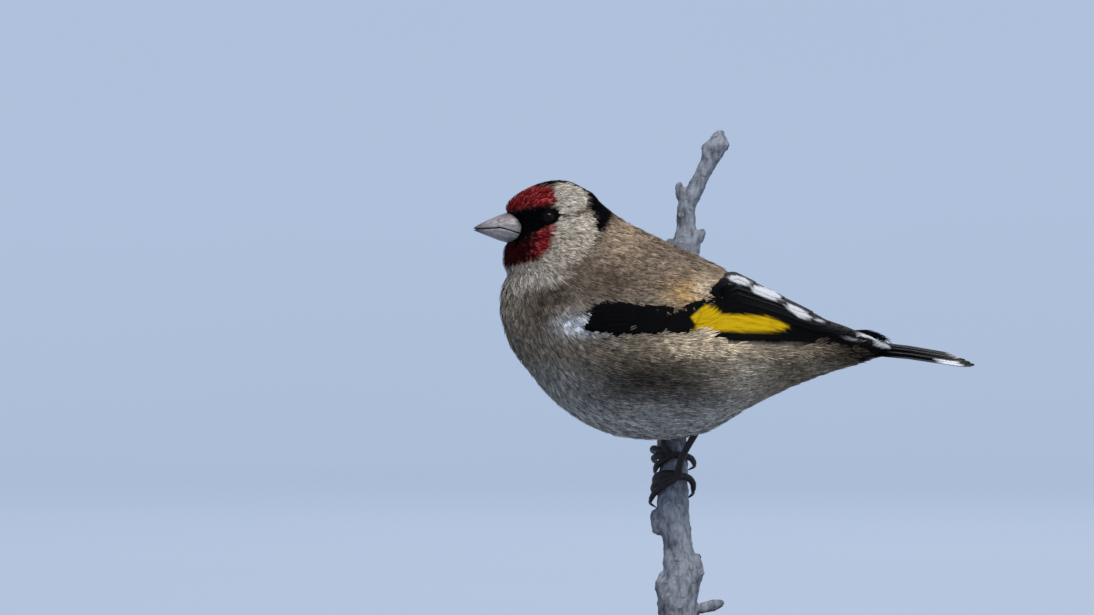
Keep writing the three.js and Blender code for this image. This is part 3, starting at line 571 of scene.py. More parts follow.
# Many small feathers as one mesh: each is a fan of fine blades that follow the skin
def coat(name, place, normal, length, width, rise, blades):
    count, steps, ragged = len(place), tuft["steps"], tuft["ragged"]
    lie = lieAt(place)
    along = unit(lie - normal * np.sum(lie * normal, axis=1, keepdims=True))
    tone = markings(place + along * (length * 0.62)[:, None])
    lie = lie + randomHand.normal(0, tuft["stray"], (count, 3))
    lie = unit(lie - normal * np.sum(lie * normal, axis=1, keepdims=True))
    middle, middleNormal = nearest(skinTree, place + lie * (length * 0.5)[:, None])
    lieOn = unit(lie - middleNormal * np.sum(lie * middleNormal, axis=1, keepdims=True))
    end, endNormal = nearest(skinTree, middle + lieOn * (length * 0.5)[:, None])
    root = place - normal * tuft["root"]
    middle = middle + middleNormal * (rise * tuft["middle"])[:, None]
    tip = end + endNormal * (rise * randomHand.uniform(*tuft["tip"], count))[:, None]
    side = np.cross(lie, normal)
    at = np.linspace(0, 1, steps + 1)
    across = np.linspace(-1, 1, blades)
    s = at * (1 - ragged * across[None, :, None] ** 2 - randomHand.uniform(0, ragged, (count, blades, 1)))
    start, mid, stop = 2 * (s - 0.5) * (s - 1), 4 * s * (1 - s), 2 * s * (s - 0.5)
    spine = (start[..., None] * root[:, None, None] + mid[..., None] * middle[:, None, None]
             + stop[..., None] * tip[:, None, None])
    fan = np.sin(np.clip(s / 0.62, 0, 1) * math.pi / 2) * (1 - 0.35 * smoothstep(0.6, 1.0, s))
    wide = width[:, None, None]
    stray = randomHand.normal(0, tuft["bladeStray"], (count, blades, 1))
    offset = across[None, :, None] * fan * wide / 2 + stray * wide * s
    lower = (across ** 2)[None, :, None] * fan * wide * tuft["hang"]
    bladeNormal = (normal + endNormal)[:, None, None] / 2
    line = spine + side[:, None, None] * offset[..., None] - bladeNormal * lower[..., None]
    taper = (1 - at ** 2 * tuft["taper"]) * np.where(at < 1e-6, 0.55, 1)
    half = wide / blades * tuft["bladeWidth"] * taper * np.ones((1, blades, 1))
    turned = tuft["turn"] * half * np.where(np.arange(blades) % 2, 1, -1)[None, :, None]
    left = line - side[:, None, None] * half[..., None] + turned[..., None] * bladeNormal
    right = line + side[:, None, None] * half[..., None] - turned[..., None] * bladeNormal
    vertices = np.stack([left, right], axis=3).reshape(-1, 3)
    rungs = np.arange(steps)[:, None] * 2 + np.array([2, 3, 1, 0])
    faces = rungs[None] + (np.arange(count * blades) * (steps + 1) * 2)[:, None, None]
    made = meshObject(name, vertices, faces.reshape(-1, 4))
    # painted shade: each blade runs from darker at its root to a little lighter at its tip, for the shade
    # where the feathers overlap
    paintedShade = tuft["paintedShade"][0] + tuft["paintedShade"][1] * at
    streak = randomHand.uniform(*tuft["bladeTone"], (count, blades))
    streak = streak * randomHand.uniform(*tuft["featherTone"], (count, 1))
    tint = tone[:, None, None, :] * paintedShade[:, None] * streak[:, :, None, None]
    setTint(made, np.repeat(tint[:, :, :, None, :], 2, axis=3))
    spot = np.zeros((count, blades, steps + 1, 2, 2))
    spot[..., 0] = 0.003 * (s[..., None] - 0.5)
    spot[..., 1] = 0.0015 * across[None, :, None, None]
    setUv(made, "OFBake", unwrapped(place)[:, None, None, None, :] + spot)
    placePiece(made, featherSoft, "head_feathers" if name == "coatFace" else "body_feathers")
    print(name, count, "feathers", 2 * len(made.data.polygons), "triangles")


fold = {
    "along": 30, "across": 10, "tip": 0.80, "camber": 0.12, "overlap": 0.16, "rise": 0.10,
    "handRise": 0.5, "press": 0.45, "probe": 40, "level": 0.4,
    "arc": [(-26, 3), (-16, 8.6), (2, 7.6), (9, 15), (14, 19), (26, 15), (40, 8), (52.5, 2.4)],
}


# A point on the folded wing: b runs from the lower edge to the upper edge
def wingSurface(x, b, lift, side):
    turn = np.radians(90 + (onLine(wingTurn, x) - 90) * b)
    out = np.stack([np.zeros_like(x), side * np.sin(turn), np.cos(turn)], axis=-1)
    centre = np.stack([x, np.zeros_like(x), onLine(wingLow, x)], axis=-1)
    points, surfaceNormals = [], []
    for o, c in zip(out.reshape(-1, 3), centre.reshape(-1, 3)):
        hit = formTree.ray_cast(Vector(c + o * fold["probe"]), Vector(-o))
        points.append(hit[0] if hit[0] else Vector(c + o * 2))
        surfaceNormals.append(hit[1] if hit[0] else Vector(o))
    level = fold["level"]
    n = unit(np.array(surfaceNormals) * (1 - level) + out.reshape(-1, 3) * level)
    return (np.array(points) + n * lift.reshape(-1, 1)).reshape(out.shape)


vaneShape = {"thick": 0.12, "shaft": 0.10, "shaftWidth": 0.10, "underShade": 0.8}


# Stiff feathers as one mesh: each is a cambered vane with a shaft along it, closed
def vaneMesh(centreAt, count, toneAt, nu, nv):
    vertices, tints, uvs, faces = [], [], [], []
    u, v = np.linspace(0, 1, nu + 1), np.linspace(-1, 1, nv + 1)
    start = 0
    index = np.arange((nu + 1) * (nv + 1)).reshape(nu + 1, nv + 1)
    for i in range(count):
        top = centreAt(i, u, v)
        n = unit(np.cross(np.gradient(top, axis=1), np.gradient(top, axis=0)))
        shaft = np.exp(-(v / vaneShape["shaftWidth"]) ** 2)[None, :, None] * vaneShape["shaft"]
        shaft = shaft * (1 - u * 0.7)[:, None, None]
        vertices += [(top + n * shaft).reshape(-1, 3), (top - n * vaneShape["thick"]).reshape(-1, 3)]
        tone = toneAt(i, u[:, None] * np.ones_like(v), v * np.ones_like(u)[:, None], top)
        # painted shade: the underside of each vane takes the same tone, made darker
        tints += [tone.reshape(-1, 3), tone.reshape(-1, 3) * vaneShape["underShade"]]
        uv = np.stack(np.broadcast_arrays(u[:, None] * 6, np.abs(v)[None]), axis=-1).reshape(-1, 2)
        uvs += [uv, uv]
        a, b, c, d = index[:-1, :-1], index[1:, :-1], index[1:, 1:], index[:-1, 1:]
        faces.append(np.stack([a, d, c, b], axis=-1).reshape(-1, 4) + start)
        faces.append(np.stack([a, b, c, d], axis=-1).reshape(-1, 4) + start + index.size)
        rim = np.concatenate([index[:, 0], index[-1, 1:], index[-2::-1, -1], index[0, -2:0:-1]])
        after = np.roll(rim, -1)
        faces.append(np.stack([rim, rim + index.size, after + index.size, after], axis=-1) + start)
        start += 2 * index.size
    return np.concatenate(vertices), np.concatenate(faces), np.concatenate(tints), np.concatenate(uvs)


def placeVanes(name, flipped, slot, node, vertices, faces, tints, uvs):
    made = meshObject(name, vertices, faces[:, ::-1] if flipped else faces)
    setTint(made, tints)
    setUv(made, "Vane", uvs)
    placePiece(made, featherVane, slot, node)
    print(name, 2 * len(made.data.polygons), "triangles")


yellowBar = [(3.9, 92.2), (7.3, 95.2), (8.6, 94.8), (10.8, 92.9), (18.3, 92.6), (22.3, 92.2),
             (24.8, 91.3), (26.8, 90.3), (26.0, 89.4), (23.6, 88.8), (16.2, 88.9), (4.3, 89.2),
             (5.1, 90.5)]
wingSpots = [  # [x, z] of the middle, half its length and width, tilt in degrees, strength
    ((15.7, 100.8), (2.8, 0.95), 16, 0.95), ((22.0, 97.8), (3.8, 1.2), 19, 1),
    ((29.5, 93.4), (3.1, 1.0), 28, 1), ((34.3, 91.4), (1.1, 0.4), 20, 0.7),
    ((47.0, 87.5), (3.6, 0.5), 9, 1), ((49.6, 85.7), (2.4, 0.8), 8, 0.7),
    ((43.0, 86.9), (2.4, 0.25), 10, 0.4),
]
wingTiers = {  # later tiers lie over earlier ones
    "primaries": {"count": 7, "start": (-1, 7), "end": (52.4, 40),
        "low": (0.04, 0.5), "high": (0.45, 0.55), "width": 4.8, "lift": (-0.35, -0.05)},
    "secondaries": {"count": 4, "start": (3, 6), "end": (39, 33),
        "low": (0.46, 0.72), "high": (0.5, 0.8), "width": 5.4, "lift": (-0.05, 0.15)},
    "tertials": {"count": 3, "start": (5, 9), "end": (33, 19.5),
        "low": (0.74, 0.9), "high": (0.8, 0.92), "width": 6.4, "lift": (0.22, 0.5)},
    "greater": {"count": 8, "start": (-13, -3), "end": (3.6, 7.4),
        "low": (0.03, 0.84), "high": (0.05, 0.8), "width": 4.0, "lift": (0.1, 0.4)},
    "median": {"count": 7, "start": (-18, -9), "end": (-4, 0),
        "low": (0.05, 0.88), "high": (0.08, 0.86), "width": 3.6, "lift": (0.3, 0.5)},
    "lesser": {"count": 7, "start": (-20.6, -17), "end": (-11, -7),
        "low": (0.08, 0.9), "high": (0.1, 0.88), "width": 3.2, "lift": (0.45, 0.6)},
}


wingLook = {"black": 0.7, "edge": srgb(96, 90, 84), "edgeShare": 0.10, "white": 0.74,
            "foldShade": (89.75, 90.75, 91.8), "foldShadeDepth": 0.32, "barbs": 0.06}


def wingTone(i, u, v, top):
    x, z = top[..., 0], top[..., 2]
    tone = np.ones(u.shape + (3,)) * colours["black"] * wingLook["black"]
    edge = smoothstep(0.80, 1.0, v) * wingLook["edgeShare"] * smoothstep(0.2, 0.6, u)
    tone += (wingLook["edge"] - tone) * edge[..., None]
    bar = smoothstep(-0.2, 0.25, inside(yellowBar, x.ravel(), z.ravel()).reshape(x.shape))
    # painted shade: dark lines across the yellow bar, along the folds where the feathers overlap
    foldShade = sum(np.exp(-((z - line) / 0.10) ** 2) for line in wingLook["foldShade"])
    barTone = colours["yellow"] * (1 - wingLook["foldShadeDepth"] * foldShade)[..., None]
    tone += (barTone - tone) * bar[..., None]
    for middle, half, tilt, strength in wingSpots:
        ragged = 0.07 * np.sin(x * 5.1 + z * 3.7) + 0.05 * np.sin(x * 9.3 - z * 7.1)
        spot = smoothstep(-0.12, 0.2, insideOval(x, z, middle, half, tilt) + ragged * half[1]) * strength
        tone += (colours["white"] * wingLook["white"] - tone) * spot[..., None]
    return tone * (1 + wingLook["barbs"] * np.sin(v * 40))[..., None]


def makeWing(side, name, node):
    tiers, start = [], 0
    for tier in wingTiers.values():
        last = tier["count"] - 1

        def centreAt(i, u, v):
            share = i / last
            first, final, low, high, lift = (tier[key][0] + (tier[key][1] - tier[key][0]) * share
                                             for key in ("start", "end", "low", "high", "lift"))
            x = first + (final - first) * u
            blunt = np.sqrt(1 - np.clip((u - fold["tip"]) / (1 - fold["tip"]), 0, 1) ** 2 * 0.985)
            half = tier["width"] / 2 * (0.6 + 0.4 * np.minimum(1, u * 3)) * blunt
            half = half / onLine(fold["arc"], x)
            b = np.clip((low + (high - low) * u)[:, None] + v * half[:, None], -0.02, 0.985)
            raised = lift + fold["rise"] * u[:, None]
            raised = raised - fold["overlap"] * v - fold["camber"] * v ** 2
            raised = raised + fold["handRise"] * smoothstep(30, 46, x)[:, None]
            pressed = smoothstep(0.10, 0, b) + smoothstep(0.88, 1, b)
            raised = raised - fold["press"] * pressed * (x < 12)[:, None]
            return wingSurface(np.broadcast_to(x[:, None], b.shape), b, raised, side)

        vertices, faces, tints, uvs = vaneMesh(centreAt, tier["count"], wingTone, fold["along"],
                                               fold["across"])
        tiers.append((vertices, faces + start, tints, uvs))
        start += len(vertices)
    placeVanes(name, side < 0, "wing_feathers", node, *(np.concatenate(part) for part in zip(*tiers)))


makeWing(-1, "wingLeft", "wing_left")
makeWing(1, "wingRight", "wing_right")

# Tail: six feathers a side, the middle pair on top
tail = {
    "root": 43, "tips": [66.0, 66.8, 67.8, 68.9, 70.0, 71.0], "half": 2.2, "along": 24, "across": 8,
    "ridge": [(40, 86.2), (46, 86.6), (50, 86.4), (56, 85.7), (66, 84.0), (72, 82.9)], "layer": 0.5,
    "camber": 0.2, "black": 0.8, "white": 0.85, "edge": 0.12, "tipWhite": 0.6,
}


def tailAt(i, u, v):
    order, side = 5 - i // 2, -1 if i % 2 else 1
    x = tail["root"] + (tail["tips"][order] - tail["root"]) * u
    blunt = np.sqrt(1 - np.clip((u - 0.86) / 0.14, 0, 1) ** 2 * 0.98)
    half = tail["half"] * (0.7 + 0.3 * u) * blunt
    y = (0.8 + order * (0.25 + 0.55 * u))[:, None] + v * half[:, None]
    z = onLine(tail["ridge"], x)[:, None] - 0.25 - (tail["layer"] - 0.36 * u)[:, None] * order
    z = z - 0.06 * y * y / (1 + 0.1 * np.abs(y)) - (0.14 if side > 0 else 0) - tail["camber"] * v ** 2
    made = np.stack([np.broadcast_to(x[:, None], y.shape), side * y, z], axis=-1)
    return made if side < 0 else made[:, ::-1]


def tailTone(i, u, v, top):
    order, outer = 5 - i // 2, v if i % 2 else -v
    tone = np.ones(u.shape + (3,)) * colours["black"] * tail["black"]
    edge = smoothstep(0.86, 0.96, outer) * smoothstep(0.25, 0.4, u) * tail["edge"] * (order % 2)
    spot = smoothstep(0.68, 0.73, u) * smoothstep(0.92, 0.86, u) * (order >= 4)
    spot = spot * smoothstep(-0.2, 0.2, outer)
    tip = smoothstep(0.94, 0.98, u) * (order < 3) * tail["tipWhite"]
    for share in (edge, spot, tip):
        tone += (colours["white"] * tail["white"] - tone) * share[..., None]
    return tone


placeVanes("tailVanes", True, "tail_feathers", "tail",
           *vaneMesh(tailAt, 2 * len(tail["tips"]), tailTone, tail["along"], tail["across"]))

# Coat
eyeCentres = {}
for name in ("left", "right"):
    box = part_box("eye_" + name)
    eyeCentres[name] = np.array((box[0] + box[1]) / 2) / mm
billTrees = [treeOf(nodes[name]) for name in ("bill_upper", "bill_lower")]
clear = {
    "eye": 2.3, "bill": 0.12, "wingFront": -21.0, "wingSlope": 0.95, "rumpFrom": 8.5, "tailRoot": (41, 46),
    "tailFrom": 48.5, "headFrom": -15, "headLine": [(-42, 102.6), (-30, 102), (-22, 104.5), (-15, 109)],
}


def clearOfFace(points):
    free = np.ones(len(points), bool)
    for centre in eyeCentres.values():
        free &= np.linalg.norm(points - centre, axis=1) > clear["eye"]
    x, y, z = points[:, 0], np.abs(points[:, 1]), points[:, 2]
    near = (x < -33) & (y < 4.5) & (z > 108.5) & (z < 117.8)
    for tree in billTrees:
        place, normal = nearest(tree, points[near])
        beyond = np.sum((points[near] - place) * normal, axis=1)
        free[np.flatnonzero(near)[beyond < clear["bill"]]] = False
    return free


def onHead(points):
    x, y, z = points.T
    return (x < clear["headFrom"]) & (z > onLine(clear["headLine"], x))


def bare(points):  # where the wing and the tail lie on the skin
    x, y, z = points[:, 0], np.abs(points[:, 1]), points[:, 2]
    front = clear["wingFront"] + np.maximum(0, 93.5 - z) * clear["wingSlope"]
    underWing = (x > front) & (z > onLine(flankTop, x)) & (z < onLine(mantleEdge, x + 3.0) + 0.6) & (y > 2)
    onRidge = (x >= clear["tailRoot"][0]) & (x <= clear["tailRoot"][1]) & (y <= 2.2)
    overTail = (x > clear["rumpFrom"]) & (z > onLine(flankTop, x)) & ~onRidge
    return underWing | overTail | (x > clear["tailFrom"])


faceCoat = {  # length, width and rise are at the bill, and how much more further back
    "tries": 240000, "spacing": 0.56, "length": (1.2, 1.9), "width": (0.5, 0.5), "rise": (0.45, 0.45),
    "blades": 4, "billAt": -42, "over": 22, "shortest": 0.45, "lidReach": 1.72,
}
place, normal = scatter(faceCoat["tries"], lambda p: onHead(p) & clearOfFace(p), faceCoat["spacing"])
behind = np.clip((place[:, 0] - faceCoat["billAt"]) / faceCoat["over"], 0, 1)
sizes = (faceCoat["length"], faceCoat["width"], faceCoat["rise"])
lengths, widths, rises = (first + more * behind for first, more in sizes)
lie = lieAt(place)
for centre in eyeCentres.values():  # none lies over the eye
    away = centre - place
    away[:, 1] = 0
    room = np.linalg.norm(away, axis=1) - faceCoat["lidReach"]
    facing = (np.sum(unit(away) * lie, axis=1) > 0.2) & (place[:, 1] * centre[1] > 0)
    lengths = np.where(facing, np.minimum(lengths, np.maximum(faceCoat["shortest"], room)), lengths)
coat("coatFace", place, normal, lengths, widths, rises, faceCoat["blades"])

bodyCoat = {
    "tries": 220000, "spacing": 0.92, "length": [(-40, 3.6), (-10, 5.0), (20, 5.8), (50, 7.0)],
    "lengths": (0.8, 1.15), "width": 0.44, "rise": 1.15, "rises": (0.8, 1.18), "overEdges": 0.75,
    "blades": 8,
}
regions = {
    "coatNeck": lambda x, z: (x < -4) & (z > 96),
    "coatBreast": lambda x, z: (x < -4) & (z <= 96) & (z > 80),
    "coatBelly": lambda x, z: (x < 12) & (z <= 80),
    "coatMiddle": lambda x, z: (x >= -4) & (x < 16) & (z > 80),
    "coatRear": lambda x, z: ((x >= 12) & (z <= 80)) | ((x >= 16) & (z > 80)),
}
for name, region in regions.items():
    place, normal = scatter(bodyCoat["tries"], lambda p: region(p[:, 0], p[:, 2]) & ~onHead(p) & ~bare(p),
                            bodyCoat["spacing"])
    x, y, z = place.T
    lengths = onLine(bodyCoat["length"], x) * randomHand.uniform(*bodyCoat["lengths"], len(place))
    overWing = smoothstep(4.5, 1.0, z - onLine(mantleEdge, x + 3.0)) * (x > -26)
    overWing = overWing * (z > onLine(wingLow, x) + 2)
    aboveFlank = z - onLine(flankTop, x)
    flankRow = smoothstep(-2.6, 0, aboveFlank) * (aboveFlank < 0.1) * (x > -20) * (x < 42)
    rises = bodyCoat["rise"] * randomHand.uniform(*bodyCoat["rises"], len(place))
    rises = rises + bodyCoat["overEdges"] * np.maximum(overWing, flankRow)
    coat(name, place, normal, lengths, lengths * bodyCoat["width"], rises, bodyCoat["blades"])

# Bill: grey horn, darker along the ridge and at the tip
billLook = {
    "roughness": 0.42, "specular": 0.35, "stretch": (0.25, 1, 1), "scale": 2600, "depth": 0.00006,
    "strength": 0.5, "limits": (0.35, 0.7), "first": srgb(104, 98, 98), "second": srgb(150, 144, 144),
    "voxel": 0.12, "smoothing": 6, "shades": [  # axis, from and to in metres, colour, strength
        ("Z", (0.1150, 0.1166), srgb(70, 64, 66), 0.75), ("Z", (0.1113, 0.1100), srgb(76, 66, 60), 0.55),
        ("X", (-0.0430, -0.0465), srgb(44, 46, 58), 0.95)],
}
billMaterial, tree, shader, place, horn = grainMaterial("bill horn", billLook)
parts = addNode(tree, "ShaderNodeSeparateXYZ")
linkAll(tree, (place, "Object", parts, "Vector"))
for axis, limits, colour, most in billLook["shades"]:
    horn = addBlend(tree, parts.outputs[axis], limits, horn, colour, most, shader.inputs["Base Color"])
for part in ("bill_upper", "bill_lower"):
    refine(part + "_horn", part, billLook, billMaterial, "bill")
# the inside of the mouth, coloured near black as painted shade for the narrow gap between the bill's halves
mouthLook = {  # the dark inside that shows along the mouth line
    "roughness": 0.8, "specular": 0.1, "scale": 2000, "depth": 0.00005, "strength": 0.4,
    "first": srgb(26, 18, 18), "second": srgb(48, 34, 32), "voxel": 0.4, "smoothing": 2, "inset": 0.3,
}
mouth = remeshed("mouthInside", *merged(nodeMesh("bill_upper"), nodeMesh("bill_lower")), mouthLook["voxel"],
                 mouthLook["smoothing"])
sink(mouth, mouthLook["inset"])
placePiece(mouth, grainMaterial("mouth", mouthLook)[0], "bill")

# Eyes and lids
eyeLook = {"roughness": 0.06, "specular": 0.08, "scale": 1500, "first": srgb(4, 3, 3),
           "second": srgb(9, 5, 4)}
eyeMaterial, tree, shader = newMaterial("eye", eyeLook["roughness"], eyeLook["specular"])
place = addNode(tree, "ShaderNodeTexCoord")
iris = addNode(tree, "ShaderNodeTexNoise", Scale=eyeLook["scale"])
linkAll(tree, (place, "Object", iris, "Vector"))
addBlend(tree, iris.outputs["Fac"], (0.3, 0.7), eyeLook["first"], eyeLook["second"],
         into=shader.inputs["Base Color"])
lidLook = {"roughness": 0.8, "specular": 0.04, "scale": 3000, "depth": 0.00005, "strength": 0.5,
           "first": srgb(4, 4, 5), "second": srgb(11, 10, 11)}
lidMaterial = grainMaterial("lid skin", lidLook)[0]


def grid(rows, turns, at):  # a closed band of points by row and turn
    turn = np.linspace(0, 2 * math.pi, turns, endpoint=False)
    return at(*np.meshgrid(np.linspace(0, 1, rows), turn, indexing="ij")), bandFaces(rows, turns)


eyeBall = {"radius": 2.02, "cornea": 0.10, "turns": 72}
lid = {"reach": 1.60, "wide": 0.30, "forward": 1.40, "beads": 18, "height": 0.92}
for side, name in ((-1, "left"), (1, "right")):
    centre = eyeCentres[name]

    def ballAt(r, t):
        a = 0.001 + (math.pi - 0.002) * r
        out = eyeBall["radius"] + eyeBall["cornea"] * np.exp(-(a / 0.6) ** 2)
        return np.stack([centre[0] + out * np.sin(a) * np.cos(t), centre[1] + side * out * np.cos(a),
                         centre[2] + out * np.sin(a) * np.sin(t)], axis=-1)

    def lidAt(r, t):
        turn = 2 * math.pi * r
        out = lid["reach"] + lid["wide"] * (1 + np.cos(turn)) / 2 * (1 + 0.12 * np.sin(t * lid["beads"]))
        forward = lid["forward"] + 0.2 * np.sin(turn) - 0.45 * (out - lid["reach"])
        return np.stack([centre[0] + out * np.cos(t), centre[1] + side * forward,
                         centre[2] + lid["height"] * out * np.sin(t)], axis=-1)

    for title, rows, at, slot, node, material in (("eyeball_", 36, ballAt, "eyes", "eye_", eyeMaterial),
                                                  ("lidRing_", 17, lidAt, "lids", "lid_", lidMaterial)):
        co, faces = grid(rows, eyeBall["turns"], at)
        outward = (side < 0) == (title == "lidRing_")
        made = meshObject(title + name, co, faces if outward else faces[:, ::-1])
        placePiece(made, material, slot, node + name)

# Legs and claws, near black
legLook = {"roughness": 0.55, "specular": 0.25, "stretch": (1, 1, 2.5), "scale": 1400, "depth": 0.00012,
           "strength": 0.8, "limits": (0.35, 0.65), "first": srgb(13, 11, 13), "second": srgb(38, 34, 36),
           "voxel": 0.17, "smoothing": 3}
clawLook = {"roughness": 0.35, "specular": 0.35, "scale": 1800, "depth": 0.00004, "strength": 0.4,
            "first": srgb(14, 12, 13), "second": srgb(40, 34, 34), "voxel": 0.09, "smoothing": 2}
legMaterial = grainMaterial("leg scutes", legLook)[0]
clawMaterial = grainMaterial("claw horn", clawLook)[0]
for side in ("left", "right"):
    refine("shankAndToes_" + side, "leg_" + side, legLook, legMaterial, "legs")
    for toe in ("inner", "middle", "outer", "hind"):
        refine("hook_" + side + "_" + toe, "claw_" + side + "_" + toe, clawLook, clawMaterial, "claws")
print("bill, eyes and feet")

# Twig: grey bark, streaked along its length, with lichen scales
barkLook = {
    "roughness": 0.9, "specular": 0.15, "stretch": (1, 1, 0.35), "scale": 900, "depth": 0.0005,
    "strength": 0.9, "limits": (0.30, 0.62), "first": srgb(72, 74, 80), "second": srgb(126, 131, 140),
    "scarScale": 150, "scars": ((0.56, 0.72), srgb(34, 32, 36), 0.85),  # from and to, colour, strength
    "voxel": 0.36, "smoothing": 3, "cracks": 0.0022, "crackDepth": 0.0007, "crackLevel": 0.55,
}
bark, tree, shader, place, streaks = grainMaterial("bark", barkLook)
cloud = addNode(tree, "ShaderNodeTexNoise", Scale=barkLook["scarScale"], Detail=3)
linkAll(tree, (place, "Object", cloud, "Vector"))
limits, scar, most = barkLook["scars"]
addBlend(tree, cloud.outputs["Fac"], limits, streaks, scar, most, shader.inputs["Base Color"])
lichenLook = {"roughness": 0.95, "specular": 0.1, "scale": 1500, "depth": 0.0002, "strength": 0.8,
              "first": srgb(78, 82, 84), "second": srgb(140, 145, 150)}
lichen = grainMaterial("lichen", lichenLook)[0]
twig = remeshed("twigBark", *nodeMesh("twig"), barkLook["voxel"], barkLook["smoothing"])
roughen = twig.modifiers.new("cracks", "DISPLACE")
cracks = bpy.data.textures.new("cracks", "CLOUDS")
cracks.noise_scale = barkLook["cracks"]
cracks.noise_depth = 3
roughen.texture = cracks
roughen.strength = barkLook["crackDepth"]
roughen.mid_level = barkLook["crackLevel"]
finishModifiers(twig)
placePiece(twig, bark, "bark", "twig")


# A tree that sets small scales all over a surface, turned and sized by a fixed seed
def makeScales():
    tree = bpy.data.node_groups.new("scales", "GeometryNodeTree")
    inputs = (("Geometry", "Geometry", None), ("Spacing", "Float", 0.0016), ("Density", "Float", 300000.0),
              ("Size", "Float", 0.0008), ("Seed", "Int", 5), ("Material", "Material", None))
    start, end = addSockets(tree, inputs, [("Geometry", "Geometry", None)])
    spread = addNode(tree, "GeometryNodeDistributePointsOnFaces")
    spread.distribute_method = "POISSON"
    scale = addNode(tree, "GeometryNodeMeshIcoSphere", Subdivisions=2)
    flatten = addNode(tree, "GeometryNodeTransform", Scale=(1, 0.75, 0.2))
    vary = addNode(tree, "FunctionNodeRandomValue", Min=0.3, Max=1.0)
    instances = addNode(tree, "GeometryNodeInstanceOnPoints")
    realize = addNode(tree, "GeometryNodeRealizeInstances")
    finish = addNode(tree, "GeometryNodeSetMaterial")
    linkAll(tree, (start, "Geometry", spread, "Mesh"), (start, "Spacing", spread, "Distance Min"),
            (start, "Density", spread, "Density Max"), (start, "Seed", spread, "Seed"),
            (start, "Size", scale, "Radius"), (start, "Seed", vary, "Seed"),
            (scale, "Mesh", flatten, "Geometry"), (flatten, "Geometry", instances, "Instance"),
            (spread, "Points", instances, "Points"), (spread, "Rotation", instances, "Rotation"),
            (vary, "Value", instances, "Scale"), (instances, "Instances", realize, "Geometry"),
            (realize, "Geometry", finish, "Geometry"), (start, "Material", finish, "Material"),
            (finish, "Geometry", end, "Geometry"))
    return tree


scales = makeScales()
lichenScales = bpy.data.objects.new("lichenScales", twig.data.copy())
scene.collection.objects.link(lichenScales)
spread = lichenScales.modifiers.new("scales", "NODES")
spread.node_group = scales
settings = {"Spacing": 0.0024, "Density": 160000.0, "Size": 0.0010, "Seed": 5, "Material": lichen}
for socket in scales.interface.items_tree:
    if socket.in_out == "INPUT" and socket.name in settings:
        spread[socket.identifier] = settings[socket.name]
finishModifiers(lichenScales)
placePiece(lichenScales, lichen, "bark")
print("twig", len(twig.data.polygons), "lichen", len(lichenScales.data.polygons))

# Stand
woodLook = {"roughness": 0.4, "specular": 0.4, "stretch": (1, 0.08, 1), "scale": 500, "depth": 0.00008,
            "strength": 0.4, "first": srgb(46, 29, 21), "second": srgb(92, 62, 44)}
steelLook = {"roughness": 0.3, "specular": 0.5, "stretch": (1, 1, 0.05), "scale": 3000, "depth": 0.00002,
             "strength": 0.4, "first": (0.5, 0.5, 0.51), "second": (0.66, 0.66, 0.67), "metallic": 1}
wood, steel = grainMaterial("stand wood", woodLook)[0], grainMaterial("stand steel", steelLook)[0]
for node, material, slot in (("stand_base", wood, "stand_wood"), ("stand_rod", steel, "stand_steel")):
    setMaterial(nodes[node], material)

# Floor: flat where the stand is, then one wide curve up to the wall
floorLook = {  # lit from within, more so where the lamps fall off, for an even backdrop
    "roughness": 0.95, "specular": 0.05, "first": (0.125, 0.14, 0.165), "second": (0.135, 0.15, 0.175),
    "near": (0.385, 0.47, 0.62), "far": (0.477, 0.583, 0.769), "distances": (0.5, 3.2), "glow": 0.76,
}
sweep = {"inner": (0.0001, 0.5, 1.2), "flat": 2.2, "curve": 3.0, "top": 6.0, "steps": 31, "around": 96,
         "below": 0.05}
floorMaterial, tree, shader = newMaterial("floor", floorLook["roughness"], floorLook["specular"])
place = addNode(tree, "ShaderNodeTexCoord")
cloud = addNode(tree, "ShaderNodeTexNoise", Scale=3)
addBlend(tree, cloud.outputs["Fac"], (0.2, 0.8), floorLook["first"], floorLook["second"],
         into=shader.inputs["Base Color"])
distance = addNode(tree, "ShaderNodeVectorMath")
distance.operation = "LENGTH"
linkAll(tree, (place, "Object", cloud, "Vector"), (place, "Object", distance, 0))
addBlend(tree, distance.outputs["Value"], floorLook["distances"], floorLook["near"], floorLook["far"],
         into=shader.inputs["Emission Color"])
shader.inputs["Emission Strength"].default_value = floorLook["glow"]
flat, curve = sweep["flat"], sweep["curve"]
rise = np.radians(np.linspace(0, 90, sweep["steps"]))
profile = [(inner, 0) for inner in sweep["inner"]]
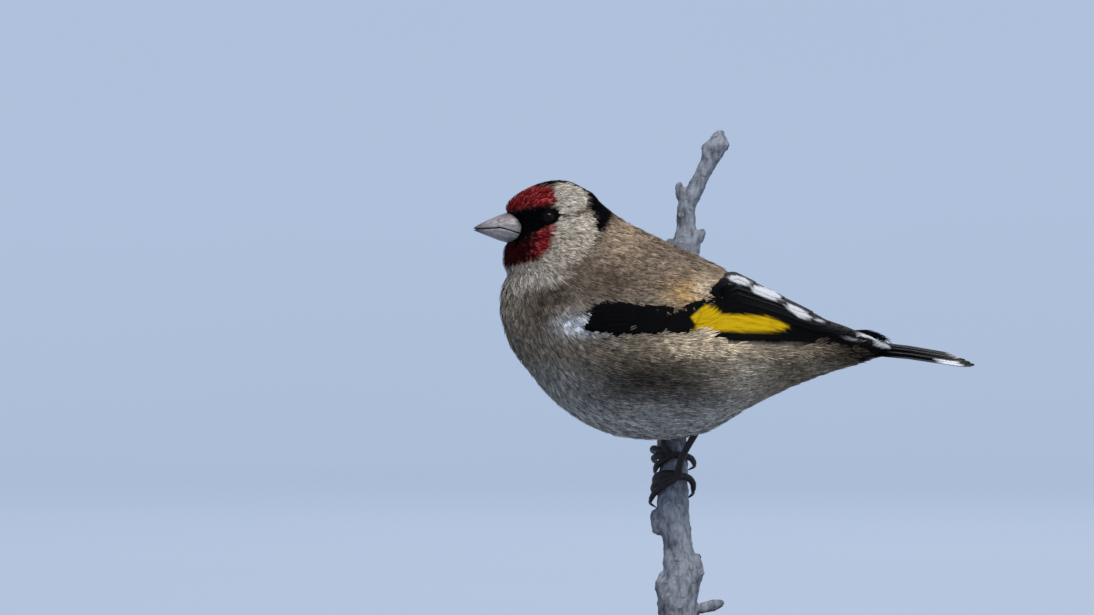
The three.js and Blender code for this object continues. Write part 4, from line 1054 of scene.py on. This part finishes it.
profile += [(flat + curve * math.sin(a), curve * (1 - math.cos(a))) for a in rise]
profile.append((flat + curve, sweep["top"]))
reach, height = (np.array(values)[:, None] for values in zip(*profile))
turn = np.linspace(0, 2 * math.pi, sweep["around"], endpoint=False)[None]
ring = np.stack(np.broadcast_arrays(reach * np.cos(turn), reach * np.sin(turn), height), axis=-1) / mm
ring[..., 2] -= sweep["below"]
floor = meshObject("floor", ring, bandFaces(len(profile), sweep["around"]))
setMaterial(floor, floorMaterial)

# Soft studio light
studio = {"colour": (0.62, 0.70, 0.84, 1), "strength": 0.8, "aim": (0, 0, 0.09)}
world = bpy.data.worlds.new("studio")
scene.world = world
world.use_nodes = True
background = world.node_tree.nodes["Background"]
background.inputs["Color"].default_value = studio["colour"]
background.inputs["Strength"].default_value = studio["strength"]
lights = {
    "key": {"place": (0.1, -0.75, 1.1), "size": (0.8, 0.3), "watts": 19, "colour": (1, 0.96, 0.92)},
    "fill": {"place": (1.1, -0.9, 0.5), "size": (0.9, 0.9), "watts": 4, "colour": (0.9, 0.95, 1)},
    "back": {"place": (0.2, 1.2, 1.0), "size": (0.6, 0.6), "watts": 7, "colour": (1, 1, 1)},
}
for name, setting in lights.items():
    light = bpy.data.lights.new(name, "AREA")
    light.shape = "RECTANGLE"
    light.size, light.size_y = setting["size"]
    light.energy = setting["watts"]
    light.color = setting["colour"]
    lamp = bpy.data.objects.new(name, light)
    lamp.location = setting["place"]
    aim = Vector(studio["aim"]) - Vector(setting["place"])
    lamp.rotation_euler = aim.to_track_quat("-Z", "Y").to_euler()
    scene.collection.objects.link(lamp)

view = {"lens": 200, "sensor": 36, "place": (-0.0295, -1.434, 0.0945), "turn": (math.pi / 2, 0, 0)}
camera = bpy.data.objects.new("camera", bpy.data.cameras.new("camera"))
scene.collection.objects.link(camera)
camera.data.lens = view["lens"]
camera.data.sensor_width = view["sensor"]
camera.location = view["place"]
camera.rotation_euler = view["turn"]
scene.camera = camera
scene.view_settings.view_transform = "Standard"
